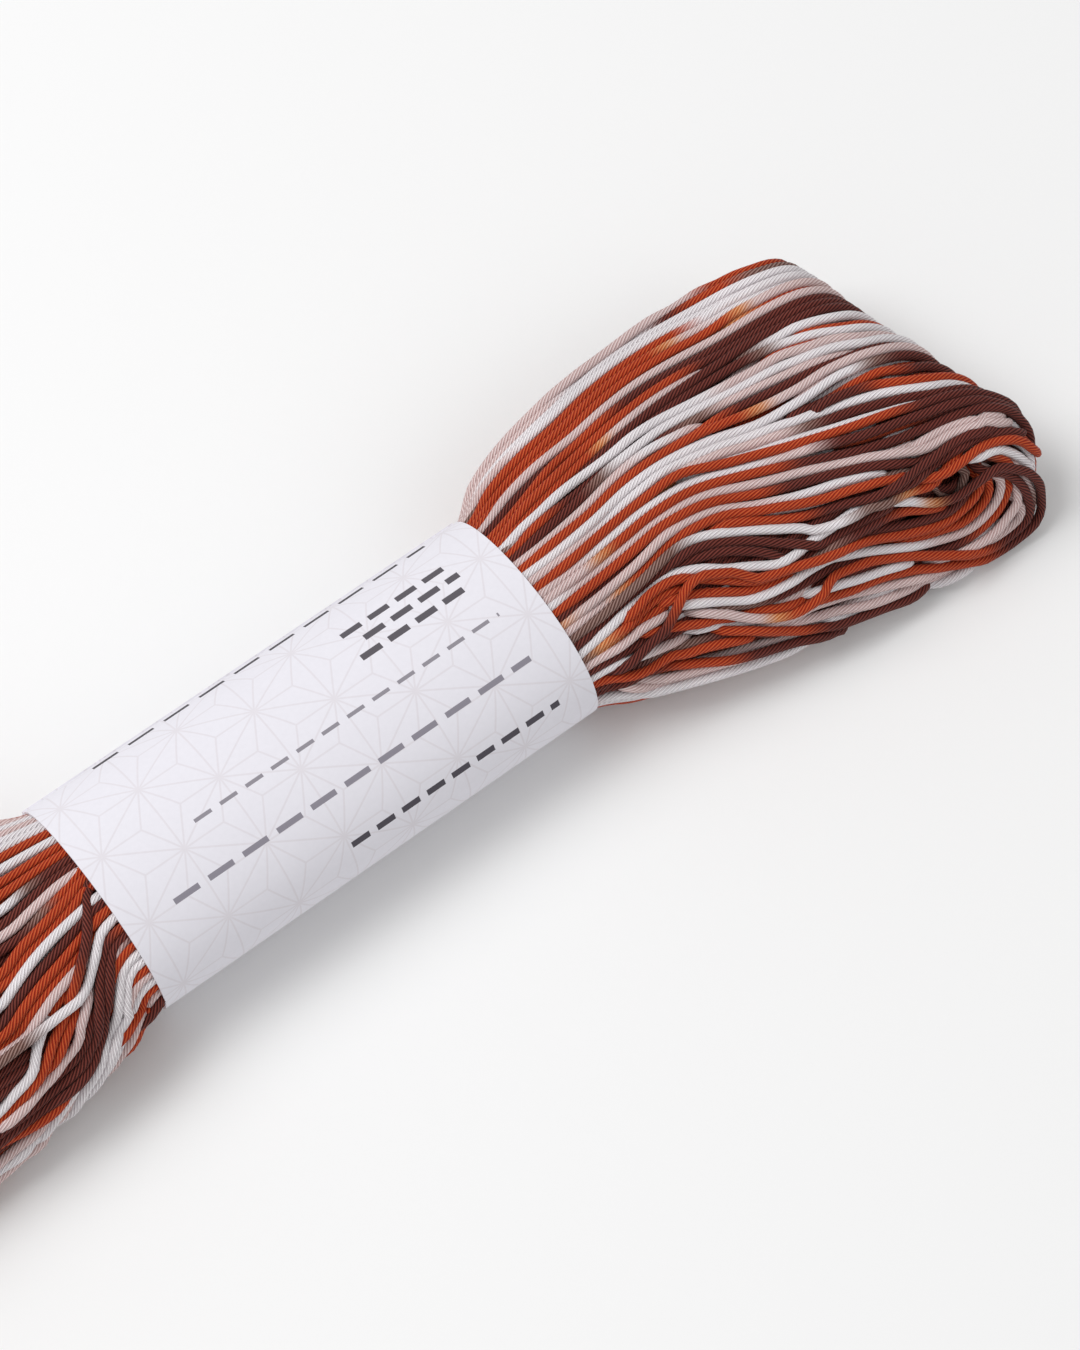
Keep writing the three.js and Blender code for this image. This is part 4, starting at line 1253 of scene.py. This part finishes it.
def hemp_leaf(tree, uv):
    """1 on a line of the lattice and 0 away from it."""
    shifted = add(tree, "ShaderNodeVectorMath", {"operation": "SUBTRACT"}, {0: uv, 1: (*LEAF_SHIFT, 0)})
    shares = []
    for k in range(3):
        turned = math.radians(90 + 120 * k)
        direction = (math.cos(turned) / LEAF_HIGH, math.sin(turned) / LEAF_HIGH, 0)
        along = add(tree, "ShaderNodeVectorMath", {"operation": "DOT_PRODUCT"}, {0: shifted, 1: direction})
        shares.append(add(tree, "ShaderNodeMath", {"operation": "FRACT"}, {0: along.outputs["Value"]}))
    pair = add(tree, "ShaderNodeMath", {"operation": "ADD"}, {0: shares[0], 1: shares[1]})
    total = add(tree, "ShaderNodeMath", {"operation": "ADD"}, {0: pair, 1: shares[2]})
    upside = add(tree, "ShaderNodeMath", {"operation": "GREATER_THAN"}, {0: total, 1: 1.5})
    parts = []
    for share in shares:
        other = add(tree, "ShaderNodeMath", {"operation": "SUBTRACT"}, {0: 1.0, 1: share})
        parts.append(add(tree, "ShaderNodeMix", {"data_type": "FLOAT"}, {0: upside, 2: share, 3: other}))
    low_pair = add(tree, "ShaderNodeMath", {"operation": "MINIMUM"}, {0: parts[0], 1: parts[1]})
    smallest = add(tree, "ShaderNodeMath", {"operation": "MINIMUM"}, {0: low_pair, 1: parts[2]})
    high_pair = add(tree, "ShaderNodeMath", {"operation": "MAXIMUM"}, {0: parts[0], 1: parts[1]})
    largest = add(tree, "ShaderNodeMath", {"operation": "MAXIMUM"}, {0: high_pair, 1: parts[2]})
    both = add(tree, "ShaderNodeMath", {"operation": "ADD"}, {0: smallest, 1: largest})
    twice = add(tree, "ShaderNodeMath", {"operation": "ADD"}, {0: both, 1: smallest})
    apart = add(tree, "ShaderNodeMath", {"operation": "SUBTRACT"}, {0: 1.0, 1: twice})
    to_side = add(tree, "ShaderNodeMath", {"operation": "MULTIPLY"}, {0: smallest, 1: LEAF_HIGH})
    to_ray = add(tree, "ShaderNodeMath", {"operation": "MULTIPLY"}, {0: apart, 1: LEAF_HIGH / math.sqrt(3)})
    nearest = add(tree, "ShaderNodeMath", {"operation": "MINIMUM"}, {0: to_side, 1: to_ray})
    return add(tree, "ShaderNodeMapRange", {"interpolation_type": "SMOOTHSTEP"}, {
        "Value": nearest, "From Min": LEAF_LINE * 0.35, "From Max": LEAF_LINE, "To Min": 1.0, "To Max": 0.0,
    })


print("lattice triangles:", LEAF, "mm on a side")


# %% [markdown]
# Over the lattice lie rows of running stitches, printed in darker greys. Each row is a list of
# numbers in mm: its place round the band, where it starts and ends along it, the pitch of its
# stitches, how much of the pitch a stitch fills, and how thick it is. A stitch is where a point lies
# near the row's line and in the first part of the pitch.

# %% Rows of running stitches
STITCH_COLUMNS = ("round", "start", "end", "pitch", "share", "thickness", "colour")
STITCH_ROWS = (
    (2.4, -20.5, 21.5, 4.2, 0.70, 0.80, "4A464C"),
    (4.6, -18.4, 21.5, 4.2, 0.70, 0.80, "4A464C"),
    (10.4, 8.2, 21.2, 3.3, 0.72, 0.75, "5A565C"),
    (12.2, 9.8, 21.2, 3.3, 0.72, 0.75, "5A565C"),
    (14.0, 8.2, 21.2, 3.3, 0.72, 0.75, "5A565C"),
    (18.3, -14.6, 21.6, 3.0, 0.66, 0.40, "8E8A92"),
    (23.6, -20.6, 21.6, 4.0, 0.72, 0.60, "8A8690"),
    (29.2, -3.0, 22.0, 3.0, 0.70, 0.70, "4E4A52"),
)


def stitch_row(tree, part, row):
    """1 on the stitches of one row and 0 elsewhere."""
    line, start = BACK_TO_SIDE + row["round"], row["start"]
    off_line = add(tree, "ShaderNodeMath", {"operation": "SUBTRACT"}, {0: part.outputs[0], 1: line})
    off = add(tree, "ShaderNodeMath", {"operation": "ABSOLUTE"}, {0: off_line})
    across = add(tree, "ShaderNodeMath", {"operation": "LESS_THAN"}, {0: off, 1: row["thickness"] / 2})
    along = add(tree, "ShaderNodeMath", {"operation": "SUBTRACT"}, {0: part.outputs[1], 1: start})
    counted = add(tree, "ShaderNodeMath", {"operation": "DIVIDE"}, {0: along, 1: row["pitch"]})
    within = add(tree, "ShaderNodeMath", {"operation": "FRACT"}, {0: counted})
    dash = add(tree, "ShaderNodeMath", {"operation": "LESS_THAN"}, {0: within, 1: row["share"]})
    begun = add(tree, "ShaderNodeMath", {"operation": "GREATER_THAN"}, {0: along, 1: 0.0})
    going = add(tree, "ShaderNodeMath", {"operation": "LESS_THAN"}, {0: along, 1: row["end"] - start})
    there = add(tree, "ShaderNodeMath", {"operation": "MULTIPLY"}, {0: across, 1: dash})
    on = add(tree, "ShaderNodeMath", {"operation": "MULTIPLY"}, {0: begun, 1: going})
    return add(tree, "ShaderNodeMath", {"operation": "MULTIPLY"}, {0: there, 1: on})


print("rows of stitches:", len(STITCH_ROWS))


# %% [markdown]
# The paper itself is thin, uncoated and very slightly lilac. Uncoated paper is matt, and its pulp
# gives it faint clouds and a very fine tooth, half a millimetre across.

# %% Printed paper
PULP = 0.5


def paper_material():
    """Pale printed paper."""
    material, tree = new_material("uncoated_printed_paper")
    uv = add(tree, "ShaderNodeUVMap", {"uv_map": "UVMap"})
    printed = add(tree, "ShaderNodeMix", {"data_type": "RGBA"}, {
        0: hemp_leaf(tree, uv), 6: (*linear("E2E0E7"), 1), 7: (*linear("DBD7DD"), 1),
    }).outputs[2]
    part = add(tree, "ShaderNodeSeparateXYZ", inputs={0: uv})
    for numbers in STITCH_ROWS:
        row = dict(zip(STITCH_COLUMNS, numbers))
        printed = add(tree, "ShaderNodeMix", {"data_type": "RGBA"}, {
            0: stitch_row(tree, part, row), 6: printed, 7: (*linear(row["colour"]), 1),
        }).outputs[2]
    place = add(tree, "ShaderNodeTexCoord")
    pulp = add(tree, "ShaderNodeTexNoise", inputs={
        "Vector": place.outputs["Object"], "Scale": 1 / (PULP * MM), "Detail": 4.0,
    })
    clouds = add(tree, "ShaderNodeMapRange", inputs={
        "Value": pulp, "From Min": 0.3, "From Max": 0.7, "To Min": 0.985, "To Max": 1.01,
    })
    colour = add(tree, "ShaderNodeVectorMath", {"operation": "SCALE"}, {0: printed, "Scale": clouds})
    bump = add(tree, "ShaderNodeBump", inputs={"Strength": 0.25, "Distance": 0.03 * MM, "Height": pulp})
    surface = add(tree, "ShaderNodeBsdfPrincipled", inputs={
        "Base Color": colour, "Roughness": 0.82, "Specular IOR Level": 0.3, "Normal": bump,
    })
    add(tree, "ShaderNodeOutputMaterial", inputs={"Surface": surface})
    return material


# %% [markdown]
# Now everything is made: the threads of each head are charted, laid, settled together and spun,
# in three pieces a head, because a piece with too many faces is hard to handle. The layer underneath
# gets threads with fewer sides, since so little of it shows.

# %% Making the skein
SIDES, INNER_SIDES = 8, 6
cotton, shade, paper = thread_material(), core_material(), paper_material()
for material in (cotton, shade, paper):
    print(material.name, "has", len(material.node_tree.nodes), "nodes")
tree = make_thread_tree()
rng = np.random.default_rng(19)
pieces = []
for head, top_rows, side_rows in (("right", RIGHT_TOP, RIGHT_SIDE), ("left", LEFT_TOP, LEFT_SIDE)):
    top = charted_threads(head, top_rows, rng)
    side = charted_threads(head, side_rows, rng)
    inner = inner_threads(head, rng)
    settle(head, top + side + inner)
    pieces.append(spin_threads(f"turns_{head}_top", top, tree, SIDES, cotton))
    pieces.append(spin_threads(f"turns_{head}_side", side, tree, SIDES, cotton))
    pieces.append(spin_threads(f"turns_{head}_inner", inner, tree, INNER_SIDES, cotton))
pieces.append(make_core(shade))
band = make_band(paper)


# %% [markdown]
# The stage is a plain pale floor that fills the view, a broad soft light from above and a wide,
# even surround, as on a product table, so that shadows are soft and short.

# %% Floor and light
FLOOR_HALF = 3.0
SURROUND = 0.5
LIGHTS = (
    ("key", (-0.35, 0.3, 0.7), 0.5, 4.8),
    ("fill", (0.5, -0.5, 0.6), 0.6, 1.2),
)


def make_floor():
    """A flat matt board, much larger than the view."""
    mesh = bpy.data.meshes.new("floor")
    size = FLOOR_HALF
    corners = [(-size, -size, 0), (size, -size, 0), (size, size, 0), (-size, size, 0)]
    mesh.from_pydata(corners, [], [(0, 1, 2, 3)])
    material = bpy.data.materials.new("pale_matt_board")
    material.use_nodes = True
    board = material.node_tree.nodes["Principled BSDF"]
    board.inputs["Base Color"].default_value = (*linear("EFEFEF"), 1)
    board.inputs["Roughness"].default_value = 0.9
    board.inputs["Specular IOR Level"].default_value = 0.1
    mesh.materials.append(material)
    new_object("floor", mesh)


def make_light():
    """An even white surround and two soft lamps, each with its place in m, its size and its power."""
    world = bpy.data.worlds.new("soft_surround")
    world.use_nodes = True
    world.node_tree.nodes["Background"].inputs[0].default_value = (1, 1, 1, 1)
    world.node_tree.nodes["Background"].inputs[1].default_value = SURROUND
    bpy.context.scene.world = world
    for name, place, size, power in LIGHTS:
        data = bpy.data.lights.new(name, "AREA")
        data.size = size
        data.energy = power
        lamp = new_object(name, data)
        lamp.location = place
        lamp.rotation_mode = "QUATERNION"
        lamp.rotation_quaternion = Vector(place).to_track_quat("Z", "Y")
    bpy.context.scene.view_settings.view_transform = "Standard"
    print("lamps:", ", ".join(row[0] for row in LIGHTS))


make_floor()
make_light()


# %% [markdown]
# Last, each piece is tied to the frame: it rides on the one body, and the solid of the frame that it
# stands for is hidden.

# %% Tying the pieces to the frame
for piece in pieces:
    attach(piece, "root")
    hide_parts("thread_hank")
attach(band, "root")
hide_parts("paper_band")
